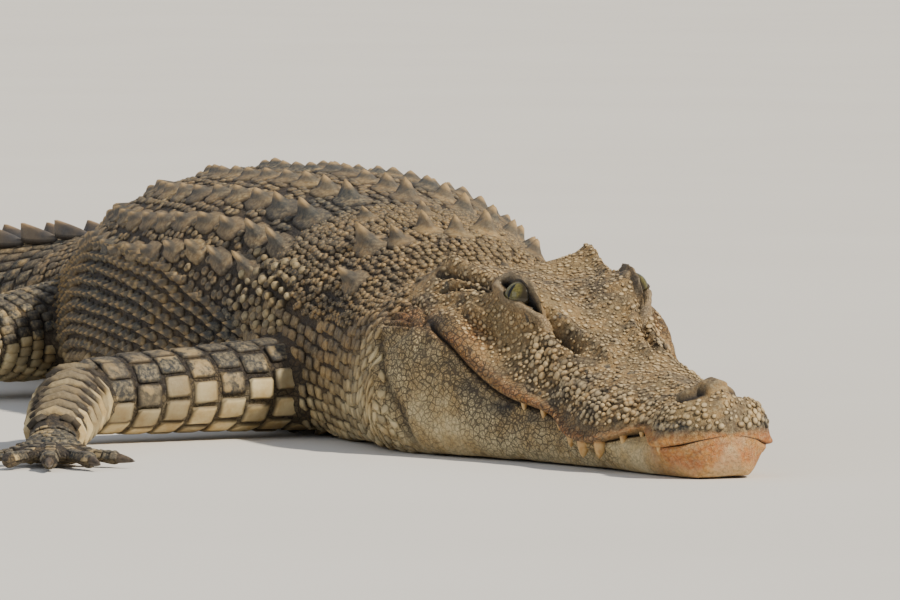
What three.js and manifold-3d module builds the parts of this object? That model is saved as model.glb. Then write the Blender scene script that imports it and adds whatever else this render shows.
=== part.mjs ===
// A saltwater crocodile (Crocodylus porosus), life size, flat on its belly with its jaw on the floor.
// Millimetres, +Z up. The origin is on the floor under the middle of the trunk, and +X runs forward.
// Every length below is in head lengths (snout tip to the back of the skull) unless its name ends in Mm.
// A station is a distance from the snout tip, measured backwards along the spine.
import * as THREE from "three";
import { mergeVertices } from "three/addons/utils/BufferGeometryUtils.js";
import Module from "manifold-3d";

const wasm = await Module();
wasm.setup();

// ---------------------------------------- driving dimensions
const headMm = 520; // skull length of an adult of about 3.7 m
const bodyEnd = 7.12; // total length in head lengths
const gapMm = 0.4; // clearance of every parting cut
const station = {
  neckFront: 1.1,
  shoulders: 1.55,
  neckBack: 1.62,
  trunkMiddle: 2.42,
  hips: 3.12,
  tailFront: 3.4,
};
const tailCuts = [4.25, 5.2, 6.15];
const RIGHT = -1;
const LEFT = 1;
const mm = (headLengths) => headLengths * headMm;
const degrees = THREE.MathUtils.degToRad;

// ---------------------------------------- curves through a few named places
// A smooth curve through [place, value] pairs that never overshoots them (monotone cubic).
function profile(...pairs) {
  const x = pairs.map((p) => p[0]);
  const y = pairs.map((p) => p[1]);
  const slope = x.slice(1).map((_, i) => (y[i + 1] - y[i]) / (x[i + 1] - x[i]));
  const tangent = x.map((_, i) => {
    if (i === 0) return slope[0];
    if (i === x.length - 1) return slope[i - 1];
    const [before, after] = [slope[i - 1], slope[i]];
    return before * after <= 0 ? 0 : (2 * before * after) / (before + after);
  });
  return (at) => {
    if (at <= x[0]) return y[0];
    if (at >= x[x.length - 1]) return y[y.length - 1];
    const i = x.findIndex((place) => place > at) - 1;
    const width = x[i + 1] - x[i];
    const t = (at - x[i]) / width;
    const t2 = t * t;
    const t3 = t2 * t;
    return (
      (2 * t3 - 3 * t2 + 1) * y[i] +
      (t3 - 2 * t2 + t) * width * tangent[i] +
      (3 * t2 - 2 * t3) * y[i + 1] +
      (t3 - t2) * width * tangent[i + 1]
    );
  };
}
const mix = (a, b, share) => a + (b - a) * share;
const ramp = (at, from, to) => THREE.MathUtils.smoothstep(at, from, to);
// Rises from 0 to 1 over a quarter circle, for a rounded end.
const roundEnd = (at, radius) => Math.sqrt(1 - (1 - Math.min(at / radius, 1)) ** 2);

// ---------------------------------------- the spine, seen from above
// Which way the body faces at each station, in degrees to the left of +X.
const heading = profile(
  [1, 9], [1.7, 3], [2.42, 0], [3, 8], [3.5, 26], [4.2, 42], [5.2, 46], [6.2, 26], [7.1, -4],
);
const SPINE_STEP = 0.01;
const spineTable = (() => {
  const count = Math.round(bodyEnd / SPINE_STEP) + 1;
  const middle = Math.round(station.trunkMiddle / SPINE_STEP);
  const table = Array.from({ length: count }, () => new THREE.Vector2());
  const step = (i) => {
    const angle = degrees(heading(i * SPINE_STEP));
    return new THREE.Vector2(Math.cos(angle), Math.sin(angle)).multiplyScalar(SPINE_STEP);
  };
  for (let i = middle - 1; i >= 0; i--) table[i].copy(table[i + 1]).add(step(i + 0.5));
  for (let i = middle + 1; i < count; i++) table[i].copy(table[i - 1]).sub(step(i - 0.5));
  return table;
})();
// The place in millimetres that lies left of the spine and above the floor at a station.
function place(at, left, up) {
  const i = Math.min(Math.max(at / SPINE_STEP, 0), spineTable.length - 1.001);
  const on = spineTable[Math.floor(i)].clone().lerp(spineTable[Math.floor(i) + 1], i % 1);
  const angle = degrees(heading(at));
  const x = on.x - Math.sin(angle) * left;
  const y = on.y + Math.cos(angle) * left;
  return new THREE.Vector3(mm(x), mm(y), mm(up));
}

// ---------------------------------------- the body's outline, from snout tip to tail tip
const topLine = profile(
  [0, 0.15], [0.03, 0.168], [0.09, 0.186], [0.15, 0.166], [0.3, 0.18], [0.5, 0.228], [0.62, 0.285],
  [0.72, 0.325], [0.86, 0.352], [0.97, 0.362], [1.06, 0.352], [1.25, 0.405], [1.6, 0.46], [2.1, 0.515],
  [2.6, 0.51], [3, 0.44], [3.4, 0.35], [4.2, 0.275], [5.2, 0.205], [6.2, 0.13], [7.1, 0.05],
);
const bodyWidth = profile(
  [1, 0.3], [1.3, 0.3], [1.55, 0.335], [1.75, 0.39], [2.1, 0.465], [2.45, 0.495], [2.8, 0.45],
  [3.1, 0.355], [3.4, 0.265], [3.9, 0.2], [4.5, 0.155], [5.3, 0.11], [6.2, 0.065], [7.1, 0.022],
);
const bodyWidest = profile(
  [1, 0.15], [1.6, 0.15], [2.4, 0.14], [3.4, 0.17], [4.2, 0.155], [5.4, 0.1], [7.1, 0.025],
);
const bodySquareness = profile([1, 2.1], [1.7, 2.2], [2.4, 2.35], [3.2, 2.15], [4.4, 1.8], [7.1, 1.9]);

// The head's section passes through these places on each side, named from the brow down.
const brow = {
  out: profile(
    [0, 0.07], [0.09, 0.074], [0.175, 0.06], [0.32, 0.09], [0.5, 0.095], [0.62, 0.105], [0.72, 0.128],
    [0.8, 0.13], [0.98, 0.144], [1.06, 0.142], [1.3, 0.17],
  ),
  up: profile(
    [0, 0.13], [0.09, 0.155], [0.175, 0.142], [0.32, 0.165], [0.5, 0.215], [0.62, 0.285], [0.69, 0.352],
    [0.745, 0.362], [0.8, 0.345], [0.88, 0.36], [0.98, 0.385], [1.03, 0.372], [1.1, 0.335], [1.3, 0.36],
  ),
};
const cheek = {
  out: profile(
    [0, 0.108], [0.09, 0.108], [0.175, 0.088], [0.32, 0.145], [0.45, 0.14], [0.6, 0.15], [0.7, 0.165],
    [0.8, 0.185], [0.9, 0.205], [1, 0.235], [1.12, 0.27],
  ),
  up: profile(
    [0, 0.115], [0.09, 0.12], [0.175, 0.115], [0.32, 0.12], [0.5, 0.15], [0.65, 0.21], [0.75, 0.262],
    [0.85, 0.295], [1, 0.31], [1.12, 0.3],
  ),
};
const lip = {
  out: profile(
    [0, 0.12], [0.09, 0.12], [0.175, 0.1], [0.3, 0.155], [0.36, 0.165], [0.46, 0.158], [0.56, 0.176],
    [0.7, 0.222], [0.85, 0.27], [1, 0.295], [1.12, 0.3],
  ),
  up: profile(
    [0, 0.075], [0.09, 0.06], [0.175, 0.085], [0.31, 0.055], [0.4, 0.065], [0.49, 0.1], [0.62, 0.125],
    [0.72, 0.172], [0.8, 0.228], [0.88, 0.254], [1.2, 0.25],
  ),
};
const jaw = {
  out: profile(
    [0, 0.102], [0.1, 0.104], [0.175, 0.108], [0.3, 0.134], [0.45, 0.148], [0.6, 0.19], [0.75, 0.248],
    [0.9, 0.302], [1, 0.325], [1.12, 0.325],
  ),
  up: profile([0, 0.045], [0.3, 0.035], [0.6, 0.05], [0.8, 0.075], [1, 0.1], [1.12, 0.11]),
};
const underJaw = profile([0, 0.06], [0.1, 0.07], [0.3, 0.095], [0.6, 0.15], [0.85, 0.235], [1.12, 0.26]);
const tip = { width: 0.1, height: 0.045, middle: 0.09 };
// How much the skull's left side stands higher over the mouth than its right, per head length.
const headLean = 0.36;

// Each anchor's share of the way round from the top of the back to the belly, and its angle on the
// rounder section of the body.
const anchors = [
  { share: 0, angle: 0 },
  { share: 0.2, angle: 32 },
  { share: 0.4, angle: 66 },
  { share: 0.56, angle: 90 },
  { share: 0.72, angle: 116 },
  { share: 0.86, angle: 142 },
  { share: 1, angle: 180 },
];
const angleAt = profile(...anchors.map((a) => [a.share, a.angle]));
function headSection(at) {
  const wide = roundEnd(at + 0.002, tip.width);
  const tall = roundEnd(at + 0.004, tip.height);
  const out = [0, brow.out(at), cheek.out(at), lip.out(at), jaw.out(at), underJaw(at), 0];
  const up = [topLine(at), brow.up(at), cheek.up(at), lip.up(at), jaw.up(at), 0, 0];
  const outAt = profile(...anchors.map((a, i) => [a.share, out[i] * wide]));
  const upAt = profile(...anchors.map((a, i) => [a.share, mix(tip.middle, up[i], tall)]));
  return (share) => [outAt(share), upAt(share)];
}
function bodySection(at) {
  const [width, widest, square] = [bodyWidth(at), bodyWidest(at), bodySquareness(at)];
  const above = topLine(at) - widest;
  // It dips under the floor, so that the belly is cut flat.
  const below = widest * mix(1.6, 1.15, ramp(at, 3, 3.8));
  return (share) => {
    const angle = degrees(angleAt(share));
    const across = Math.sin(angle) ** (2 / square);
    const upright = Math.abs(Math.cos(angle)) ** (2 / square);
    return [width * across, Math.max(0, widest + (angle < Math.PI / 2 ? above : -below) * upright)];
  };
}
const toBody = (at) => ramp(at, 0.98, 1.3);
// How high a place on the head stands once the skull leans over the closed mouth.
function leaning(at, left, up) {
  return up + Math.max(0, up - lip.up(at)) * headLean * left * (1 - toBody(at));
}
// A point of the skin: share 0 is the top of the back, share 1 the belly, and side is LEFT or RIGHT.
// growMm pads it outwards.
function skin(at, share, side, growMm = 0) {
  const [headOut, headUp] = toBody(at) < 1 ? headSection(at)(share) : [0, 0];
  const [bodyOut, bodyUp] = toBody(at) > 0 ? bodySection(at)(share) : [0, 0];
  const left = side * mix(headOut, bodyOut, toBody(at));
  const up = leaning(at, left, mix(headUp, bodyUp, toBody(at)));
  const centre = bodyWidest(at);
  const reach = Math.hypot(left, up - centre) || 1;
  const pad = growMm / headMm / reach;
  return place(at, left * (1 + pad), up + (up - centre) * pad);
}

// ---------------------------------------- solids
function solidOf(geometry) {
  geometry.deleteAttribute("normal");
  geometry.deleteAttribute("uv");
  const merged = mergeVertices(geometry, 1e-3);
  return new wasm.Manifold(
    new wasm.Mesh({
      numProp: 3,
      vertProperties: merged.attributes.position.array,
      triVerts: new Uint32Array(merged.index.array),
    }),
  );
}
// A closed tube: ring(i, angleShare) gives the points of ring i, and both ends are closed by a fan.
function tube(rings, sides, ring) {
  const geometry = new THREE.CylinderGeometry(1, 1, 1, sides, rings - 1);
  const position = geometry.attributes.position;
  const centres = [0, rings - 1].map((i) => {
    const sum = new THREE.Vector3();
    for (let k = 0; k < sides; k++) sum.add(ring(i, k / sides));
    return sum.divideScalar(sides);
  });
  for (let v = 0; v < position.count; v++) {
    const [x, y, z] = [position.getX(v), position.getY(v), position.getZ(v)];
    const i = Math.round((0.5 - y) * (rings - 1));
    const around = ((Math.atan2(x, z) / (2 * Math.PI) + 1) * sides) % sides;
    const onAxis = Math.hypot(x, z) < 0.5;
    const point = onAxis ? centres[i === 0 ? 0 : 1] : ring(i, (Math.round(around) % sides) / sides);
    position.setXYZ(v, point.x, point.y, point.z);
  }
  return geometry;
}
// The stretch of body between two stations. around 0 to 0.5 goes down the right side, and 0.5 to 1
// comes up the left.
function bodyStretch(stations, sides, growMm = 0) {
  return solidOf(
    tube(stations.length, sides, (i, around) => {
      const side = around <= 0.5 ? RIGHT : LEFT;
      const share = 1 - Math.abs(1 - 2 * around);
      return skin(stations[i], share, side, growMm);
    }),
  );
}
const evenly = (from, to, count) => Array.from({ length: count + 1 }, (_, i) => mix(from, to, i / count));
const halfGap = gapMm / 2 / headMm;
const bodySides = 18;

// A limb's segment from one joint to the next, in ellipses across its line: thick is {flat, tall} at
// each share of the way.
function segment(from, to, thick, sides, rings) {
  const along = to.clone().sub(from);
  const length = along.length();
  along.normalize();
  const side = new THREE.Vector3(0, 0, 1).cross(along).normalize();
  const above = along.clone().cross(side);
  return solidOf(
    tube(rings, sides, (i, around) => {
      const share = 0.5 - 0.5 * Math.cos((Math.PI * i) / (rings - 1));
      const end = mm(Math.min(thick.flat(share), thick.tall(share)));
      const room = Math.min(share, 1 - share) * (length + end) + 0.02 * end;
      const round = roundEnd(room, end);
      const angle = -2 * Math.PI * around;
      const reach = share * (length + end) - end / 2;
      return from
        .clone()
        .addScaledVector(along, reach)
        .addScaledVector(side, mm(thick.flat(share)) * round * Math.cos(angle))
        .addScaledVector(above, mm(thick.tall(share)) * round * Math.sin(angle));
    }),
  );
}
const joined = (solids) => solids.reduce((all, one) => all.add(one));
// Keeps the part of a solid that lies beyond a point along a direction, less half a gap.
const beyond = (solid, point, direction) =>
  solid.trimByPlane([direction.x, direction.y, direction.z], direction.dot(point) + gapMm / 2);
const aboveFloor = (solid) => solid.trimByPlane([0, 0, 1], 0);
// A flat blade that faces along the body, its foot sunk below the surface it grows from.
function blade(foot, heightMm, lengthMm, thickMm, facingDegrees, leanDegrees) {
  const outline = new THREE.Shape();
  outline.moveTo(0.5 * lengthMm, -0.5 * heightMm);
  outline.lineTo(0.2 * lengthMm, 0.55 * heightMm);
  outline.lineTo(-0.4 * lengthMm, heightMm);
  outline.lineTo(-0.5 * lengthMm, -0.5 * heightMm);
  const geometry = new THREE.ExtrudeGeometry(outline, { depth: thickMm, bevelEnabled: false });
  geometry.translate(0, 0, -thickMm / 2).rotateX(Math.PI / 2);
  geometry.rotateX(degrees(leanDegrees)).rotateZ(degrees(facingDegrees));
  geometry.translate(foot.x, foot.y, foot.z);
  return solidOf(geometry);
}
function cone(foot, point, radiusMm, sides = 4) {
  const along = point.clone().sub(foot);
  const geometry = new THREE.ConeGeometry(radiusMm, along.length(), sides);
  geometry.translate(0, along.length() / 2, 0);
  const upright = new THREE.Vector3(0, 1, 0);
  geometry.applyQuaternion(new THREE.Quaternion().setFromUnitVectors(upright, along.normalize()));
  geometry.translate(foot.x, foot.y, foot.z);
  return solidOf(geometry);
}

// ---------------------------------------- head: skull with upper teeth, lower jaw, eyes
const eye = { at: 0.712, out: 0.117, up: 0.322, radius: 0.036 };
const teeth = {
  radius: 0.011,
  row: [
    { at: 0.09, size: 1.2 },
    { at: 0.14, size: 1 },
    { at: 0.2, size: 0.75 },
    { at: 0.24, size: 0.85 },
    { at: 0.29, size: 1.3 },
    { at: 0.34, size: 1.4 },
    { at: 0.4, size: 1 },
    { at: 0.46, size: 0.9 },
    { at: 0.52, size: 0.8 },
    { at: 0.58, size: 0.7 },
  ],
};

// A tooth row follows the lip. Upper teeth stand outside the lower jaw and reach down past the lip.
function toothSolids(side, growMm) {
  return teeth.row.map(({ at, size }) => {
    const rim = lip.out(at) * roundEnd(at + 0.002, tip.width);
    const foot = place(at, side * (rim - 0.008), lip.up(at) + 0.02);
    const point = place(at, side * (rim - 0.012), lip.up(at) - 0.026 * size);
    const longer = point.clone().sub(foot).setLength(growMm * 4);
    return cone(foot.sub(longer), point.add(longer), mm(teeth.radius) * size + growMm * 2);
  });
}
function eyeBall(side, growMm) {
  const centre = place(eye.at, side * eye.out, leaning(eye.at, side * eye.out, eye.up));
  const geometry = new THREE.SphereGeometry(mm(eye.radius) + growMm, 10, 6);
  return solidOf(geometry.translate(centre.x, centre.y, centre.z));
}
// The closed mouth is a thin sheet between the jaws that follows the lip line.
function mouthSheet() {
  const stations = evenly(-0.02, station.neckFront + 0.02, 24);
  const half = gapMm / 2;
  return solidOf(
    tube(stations.length, 4, (i, around) => {
      const corner = Math.round(around * 4);
      const left = corner === 0 || corner === 3 ? 0.6 : -0.6;
      const middle = place(stations[i], left, lip.up(stations[i]));
      middle.z += corner < 2 ? half : -half;
      if (stations[i] < 0) middle.x += mm(-stations[i]);
      return middle;
    }),
  );
}

const headStations = [0, 0.008, 0.03, 0.06, 0.09, 0.13, 0.175, 0.21].concat(
  evenly(0.26, station.neckFront - halfGap, 16),
);
const whole = bodyStretch(headStations, 18);
const jaws = whole.subtract(mouthSheet()).decompose();
const heights = jaws.map((solid) => solid.boundingBox().max[2]);
const skullFlesh = jaws[heights.indexOf(Math.max(...heights))];
const jawFlesh = jaws[heights.indexOf(Math.min(...heights))];

const upperTeeth = joined([...toothSolids(RIGHT, 0), ...toothSolids(LEFT, 0)]);
const toothRoom = joined([...toothSolids(RIGHT, gapMm), ...toothSolids(LEFT, gapMm)]);
const eyeRoom = joined([eyeBall(RIGHT, gapMm), eyeBall(LEFT, gapMm)]);
const skull = skullFlesh.add(upperTeeth).subtract(eyeRoom);
const lowerJaw = jawFlesh.subtract(toothRoom);

// ---------------------------------------- neck, with its shield of tall scutes
const shieldShift = -0.04; // the shield sits to the right, as the neck rolls that way
const nuchals = [
  { at: 1.35, left: 0.045, height: 0.05 },
  { at: 1.45, left: 0.05, height: 0.055 },
  { at: 1.32, left: 0.125, height: 0.05 },
];
function nuchalBlade({ at, left, height }, side) {
  const across = side * left + shieldShift;
  const foot = skin(at, 0.2 * Math.abs(across / 0.17), Math.sign(across));
  foot.z -= 3;
  return blade(foot, mm(height), mm(0.1), mm(0.03), heading(at), across * -80);
}
const nuchalBlades = nuchals.flatMap((scute) => [nuchalBlade(scute, RIGHT), nuchalBlade(scute, LEFT)]);
const neckStations = evenly(station.neckFront + halfGap, station.neckBack - halfGap, 5);
const neckStretch = bodyStretch(neckStations, bodySides);
const neck = joined([neckStretch, ...nuchalBlades]);

// ---------------------------------------- trunk
const trunkStations = evenly(station.neckBack + halfGap, station.tailFront - halfGap, 12);
const trunk = bodyStretch(trunkStations, bodySides);

// ---------------------------------------- tail, with its crest of blades
const crest = {
  whorls: 30, // rings of tail scales that carry a blade
  from: 3.46,
  merges: 5.15, // where the twin rows become one
  height: profile([3.4, 0.025], [4.4, 0.05], [5.15, 0.085], [5.6, 0.12], [6.4, 0.1], [7.1, 0.045]),
  out: profile([3.4, 0.1], [4.3, 0.075], [5.15, 0.012]),
};
function crestBlades(from, to) {
  const pitch = (bodyEnd - 0.06 - crest.from) / crest.whorls;
  const blades = [];
  for (let whorl = 0; whorl < crest.whorls; whorl++) {
    const at = crest.from + pitch * (whorl + 0.5);
    if (at - pitch / 2 < from || at + pitch / 2 > to) continue;
    const twin = at < crest.merges;
    for (const side of twin ? [RIGHT, LEFT] : [LEFT]) {
      const left = twin ? side * crest.out(at) : 0;
      const roundness = 0.35 * (topLine(at) - bodyWidest(at));
      const foot = place(at, left, topLine(at) - roundness * (left / bodyWidth(at)) ** 2);
      const height = mm(crest.height(at));
      const lean = twin ? -side * 14 : 0;
      blades.push(blade(foot, height, mm(pitch) * 0.94, mm(0.022), heading(at), lean));
    }
  }
  return blades;
}
const tailEnds = [station.tailFront, ...tailCuts, bodyEnd];
const tailStations = tailEnds.slice(1).map((to, i) => {
  const rings = i === 0 ? 8 : 6;
  return evenly(tailEnds[i] + halfGap, to - halfGap, rings);
});
const tails = tailStations.map((stations, i) => {
  const stretch = bodyStretch(stations, i === 0 ? bodySides : 10);
  return joined([stretch, ...crestBlades(stations[0], stations[stations.length - 1])]);
});

// ---------------------------------------- legs
// Every leg is described in the trunk's own directions: ahead and outwards from the spine, up from the
// floor.
function limbPlace(root, side) {
  const angle = degrees(heading(root));
  const origin = place(root, 0, 0);
  const ahead = new THREE.Vector3(Math.cos(angle), Math.sin(angle), 0);
  const outwards = new THREE.Vector3(-Math.sin(angle), Math.cos(angle), 0).multiplyScalar(side);
  return (forward, out, up) =>
    origin.clone().addScaledVector(ahead, mm(forward)).addScaledVector(outwards, mm(out)).setZ(mm(up));
}
// A foot: a flat sole, toes that spread from it, and claws on the inner three.
function footSolid({ heel, ball, toes, sole, toeRadius, clawed }) {
  const parts = [segment(heel, ball, sole, 6, 4)];
  toes.forEach((end, i) => {
    const start = heel.clone().lerp(ball, 0.75);
    const radius = profile([0, toeRadius * 1.15], [0.6, toeRadius], [1, toeRadius * 0.75]);
    parts.push(segment(start, end, { flat: radius, tall: radius }, 5, 4));
    if (i >= clawed) return;
    const along = end.clone().sub(start).normalize();
    const claw = end.clone().addScaledVector(along, mm(0.062));
    claw.z = mm(0.008);
    const root = end.clone().addScaledVector(along, mm(toeRadius) * 0.1);
    root.z = mm(toeRadius) * 0.95;
    parts.push(cone(root, claw, mm(toeRadius) * 0.6));
  });
  return parts;
}
// The room the neck, trunk and tail root take up, which the legs start outside of.
const rootStations = tailStations[0].slice(1, 6);
const roomStations = [...neckStations, ...trunkStations.slice(1), ...rootStations];
const bodyRoom = bodyStretch(roomStations, bodySides, gapMm);
// Cuts a leg out of its overlapping segments: where it leaves the trunk, then at its middle joint, then
// at its foot.
function leg({ root, middle, end, upper, lower, foot }) {
  const upperSolid = segment(root, middle, upper, 10, 6);
  const lowerSolid = segment(middle, end, lower, 8, 6);
  const all = aboveFloor(joined([upperSolid, lowerSolid, ...footSolid(foot)])).subtract(bodyRoom);
  const upperWay = middle.clone().sub(root).normalize();
  const lowerWay = end.clone().sub(middle).normalize();
  const footWay = foot.ball.clone().sub(foot.heel).setZ(0).normalize();
  const bend = upperWay.clone().add(lowerWay).normalize();
  const footStart = end.clone().addScaledVector(footWay, mm(foot.cut));
  const near = beyond(all, middle, bend.clone().negate());
  const far = beyond(all, middle, bend);
  const shank = beyond(far, footStart, footWay.clone().negate());
  return { near, shank, far: beyond(far, footStart, footWay) };
}
const largest = (solid) =>
  solid.decompose().reduce((best, one) => (one.volume() > best.volume() ? one : best));

// Each finger's and toe's turn from the middle of the foot, in radians, and its reach from the joint.
const fingers = [
  { turn: -0.62, length: 0.22 },
  { turn: -0.3, length: 0.27 },
  { turn: 0, length: 0.29 },
  { turn: 0.32, length: 0.26 },
  { turn: 0.68, length: 0.2 },
];
const hindToes = [
  { turn: -0.42, length: 0.4 },
  { turn: -0.16, length: 0.48 },
  { turn: 0.1, length: 0.47 },
  { turn: 0.38, length: 0.38 },
];
function foreleg(side, pose) {
  const at = limbPlace(station.shoulders, side);
  const root = at(0.02, 0.2, 0.11);
  const middle = at(...pose.elbow);
  const end = at(...pose.wrist);
  const spread = at(...pose.palm).sub(end).setZ(0).normalize();
  const across = new THREE.Vector3(0, 0, 1).cross(spread).multiplyScalar(side);
  const toes = fingers.map(({ turn, length }) =>
    end
      .clone()
      .addScaledVector(spread, mm(length) * Math.cos(turn))
      .addScaledVector(across, mm(length) * Math.sin(turn))
      .setZ(mm(0.019)),
  );
  return leg({
    root,
    middle,
    end,
    upper: {
      flat: profile([0, 0.12], [0.5, 0.1], [1, 0.08]),
      tall: profile([0, 0.11], [0.5, 0.09], [1, 0.08]),
    },
    lower: {
      flat: profile([0, 0.076], [0.3, 0.078], [1, 0.056]),
      tall: profile([0, 0.076], [0.3, 0.07], [1, 0.045]),
    },
    foot: {
      heel: end.clone().setZ(mm(0.036)),
      ball: end.clone().addScaledVector(spread, mm(0.13)).setZ(mm(0.028)),
      sole: { flat: profile([0, 0.062], [1, 0.078]), tall: profile([0, 0.046], [1, 0.034]) },
      toes,
      toeRadius: 0.024,
      clawed: 3,
      cut: 0.02,
    },
  });
}
function hindLeg(side, pose) {
  const at = limbPlace(station.hips, side);
  const root = at(0, 0.16, 0.16);
  const middle = at(...pose.knee);
  const end = at(...pose.ankle);
  const spread = at(...pose.sole).sub(end).setZ(0).normalize();
  const across = new THREE.Vector3(0, 0, 1).cross(spread).multiplyScalar(side);
  const toes = hindToes.map(({ turn, length }) =>
    end
      .clone()
      .addScaledVector(spread, mm(length) * Math.cos(turn))
      .addScaledVector(across, mm(length) * Math.sin(turn))
      .setZ(mm(0.02)),
  );
  return leg({
    root,
    middle,
    end,
    upper: {
      flat: profile([0, 0.15], [0.5, 0.125], [1, 0.085]),
      tall: profile([0, 0.13], [0.5, 0.11], [1, 0.085]),
    },
    lower: {
      flat: profile([0, 0.082], [0.3, 0.085], [1, 0.052]),
      tall: profile([0, 0.08], [0.3, 0.08], [1, 0.05]),
    },
    foot: {
      heel: end.clone().setZ(mm(0.04)),
      ball: end.clone().addScaledVector(spread, mm(0.24)).setZ(mm(0.03)),
      sole: { flat: profile([0, 0.055], [1, 0.09]), tall: profile([0, 0.05], [1, 0.032]) },
      toes,
      toeRadius: 0.026,
      clawed: 3,
      cut: 0.02,
    },
  });
}
const forelegs = {
  right: foreleg(RIGHT, {
    elbow: [0.17, 0.78, 0.095],
    wrist: [0.64, 0.97, 0.045],
    palm: [0.92, 1.06, 0.03],
  }),
  left: foreleg(LEFT, {
    elbow: [-0.44, 0.56, 0.1],
    wrist: [-0.12, 0.52, 0.05],
    palm: [0.1, 0.52, 0.03],
  }),
};
const hindLegs = {
  right: hindLeg(RIGHT, {
    knee: [0.2, 0.64, 0.12],
    ankle: [-0.12, 0.82, 0.06],
    sole: [0.14, 1.1, 0.03],
  }),
  left: hindLeg(LEFT, {
    knee: [0.26, 0.54, 0.12],
    ankle: [-0.06, 0.64, 0.06],
    sole: [0.16, 0.84, 0.03],
  }),
};

// ---------------------------------------- the scene graph
const finishes = {
  hide: new THREE.MeshStandardMaterial({ color: 0x8a7d62, roughness: 0.75, metalness: 0 }),
  jawHide: new THREE.MeshStandardMaterial({ color: 0xb3a077, roughness: 0.7, metalness: 0 }),
  eye: new THREE.MeshStandardMaterial({ color: 0x6b6a2a, roughness: 0.15, metalness: 0 }),
};
const crocodile = new THREE.Group();
function addNode(name, solid, finish) {
  const { numProp, vertProperties, triVerts } = solid.getMesh();
  const buffer = new THREE.InterleavedBuffer(new Float32Array(vertProperties), numProp);
  const geometry = new THREE.BufferGeometry()
    .setAttribute("position", new THREE.InterleavedBufferAttribute(buffer, 3, 0))
    .setIndex(new THREE.BufferAttribute(new Uint32Array(triVerts), 1));
  const mesh = new THREE.Mesh(geometry, finish);
  mesh.name = name;
  crocodile.add(mesh);
}
addNode("head_skull", largest(skull), finishes.hide);
addNode("head_lower_jaw", largest(lowerJaw), finishes.jawHide);
addNode("eye_right", eyeBall(RIGHT, 0), finishes.eye);
addNode("eye_left", eyeBall(LEFT, 0), finishes.eye);
addNode("neck", neck, finishes.hide);
addNode("trunk", trunk, finishes.hide);
tails.forEach((solid, i) => addNode(`tail_${i + 1}`, largest(solid), finishes.hide));
for (const side of ["right", "left"]) {
  addNode(`foreleg_${side}_upper_arm`, largest(forelegs[side].near), finishes.hide);
  addNode(`foreleg_${side}_forearm`, largest(forelegs[side].shank), finishes.hide);
  addNode(`foreleg_${side}_hand`, largest(forelegs[side].far), finishes.hide);
  addNode(`hind_leg_${side}_thigh`, largest(hindLegs[side].near), finishes.hide);
  addNode(`hind_leg_${side}_shank`, largest(hindLegs[side].shank), finishes.hide);
  addNode(`hind_leg_${side}_foot`, largest(hindLegs[side].far), finishes.hide);
}

export default crocodile;
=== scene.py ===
# %% [markdown]
# # A saltwater crocodile at rest
# A grown saltwater crocodile lies flat on its belly with its jaw on the floor. Under the scales it has one
# skin, which bends over skull, neck, trunk, tail and legs without a seam. The scales are pieces of their
# own that lie on this skin: pebbles on the neck, keeled shields on the back, plates on the legs, blades on
# the tail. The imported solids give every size, so the first step loads them and keeps their box.

# %% Load the frame
import math

import bpy
import numpy as np
from mathutils import Matrix, Vector
from mathutils.bvhtree import BVHTree
from mathutils.kdtree import KDTree


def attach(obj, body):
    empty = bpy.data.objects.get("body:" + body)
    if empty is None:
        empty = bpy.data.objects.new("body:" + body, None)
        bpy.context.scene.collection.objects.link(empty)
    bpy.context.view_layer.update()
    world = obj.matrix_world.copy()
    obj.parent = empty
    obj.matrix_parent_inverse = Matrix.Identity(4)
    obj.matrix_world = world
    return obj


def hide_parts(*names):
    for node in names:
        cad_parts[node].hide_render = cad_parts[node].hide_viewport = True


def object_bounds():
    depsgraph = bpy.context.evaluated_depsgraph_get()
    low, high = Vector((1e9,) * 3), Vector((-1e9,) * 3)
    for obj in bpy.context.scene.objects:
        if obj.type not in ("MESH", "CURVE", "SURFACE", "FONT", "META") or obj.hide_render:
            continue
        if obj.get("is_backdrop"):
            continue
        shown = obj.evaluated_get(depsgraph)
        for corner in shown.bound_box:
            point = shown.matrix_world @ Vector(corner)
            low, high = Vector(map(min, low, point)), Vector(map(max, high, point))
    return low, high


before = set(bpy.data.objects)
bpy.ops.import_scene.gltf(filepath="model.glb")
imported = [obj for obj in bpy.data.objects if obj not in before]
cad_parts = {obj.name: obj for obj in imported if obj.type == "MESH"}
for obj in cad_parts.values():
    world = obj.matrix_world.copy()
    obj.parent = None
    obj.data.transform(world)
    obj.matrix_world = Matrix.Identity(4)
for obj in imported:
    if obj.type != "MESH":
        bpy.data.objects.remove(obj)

cad_box = [list(corner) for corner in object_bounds()]
print("box of the solids:", [[round(v, 3) for v in corner] for corner in cad_box])

# %% [markdown]
# ## One measure for everything
# Animals of one kind keep their proportions, so all places here are counted in head lengths: a station is
# the distance from the snout tip backwards along the spine. A curve through a few named places, which never
# overshoots them, then tells how high or wide the body is at any station. NumPy works out all stations at
# once.

# %% A curve through named places
HEAD = 0.52  # skull length in metres
TAIL_TIP = 7.12  # total length in head lengths
RIGHT, LEFT = -1, 1


def tangents_of(slopes):
    """Slopes at the places, from the slopes between them, so that the curve never overshoots."""
    before, after = slopes[..., :-1], slopes[..., 1:]
    total = before + after
    same_way = before * after > 0
    middle = np.where(same_way, 2 * before * after / np.where(same_way, total, 1), 0)
    return np.concatenate([slopes[..., :1], middle, slopes[..., -1:]], axis=-1)


def hermite(t, width, low, high, low_tangent, high_tangent):
    t2, t3 = t * t, t * t * t
    return (
        (2 * t3 - 3 * t2 + 1) * low
        + (t3 - 2 * t2 + t) * width * low_tangent
        + (3 * t2 - 2 * t3) * high
        + (t3 - t2) * width * high_tangent
    )


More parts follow.
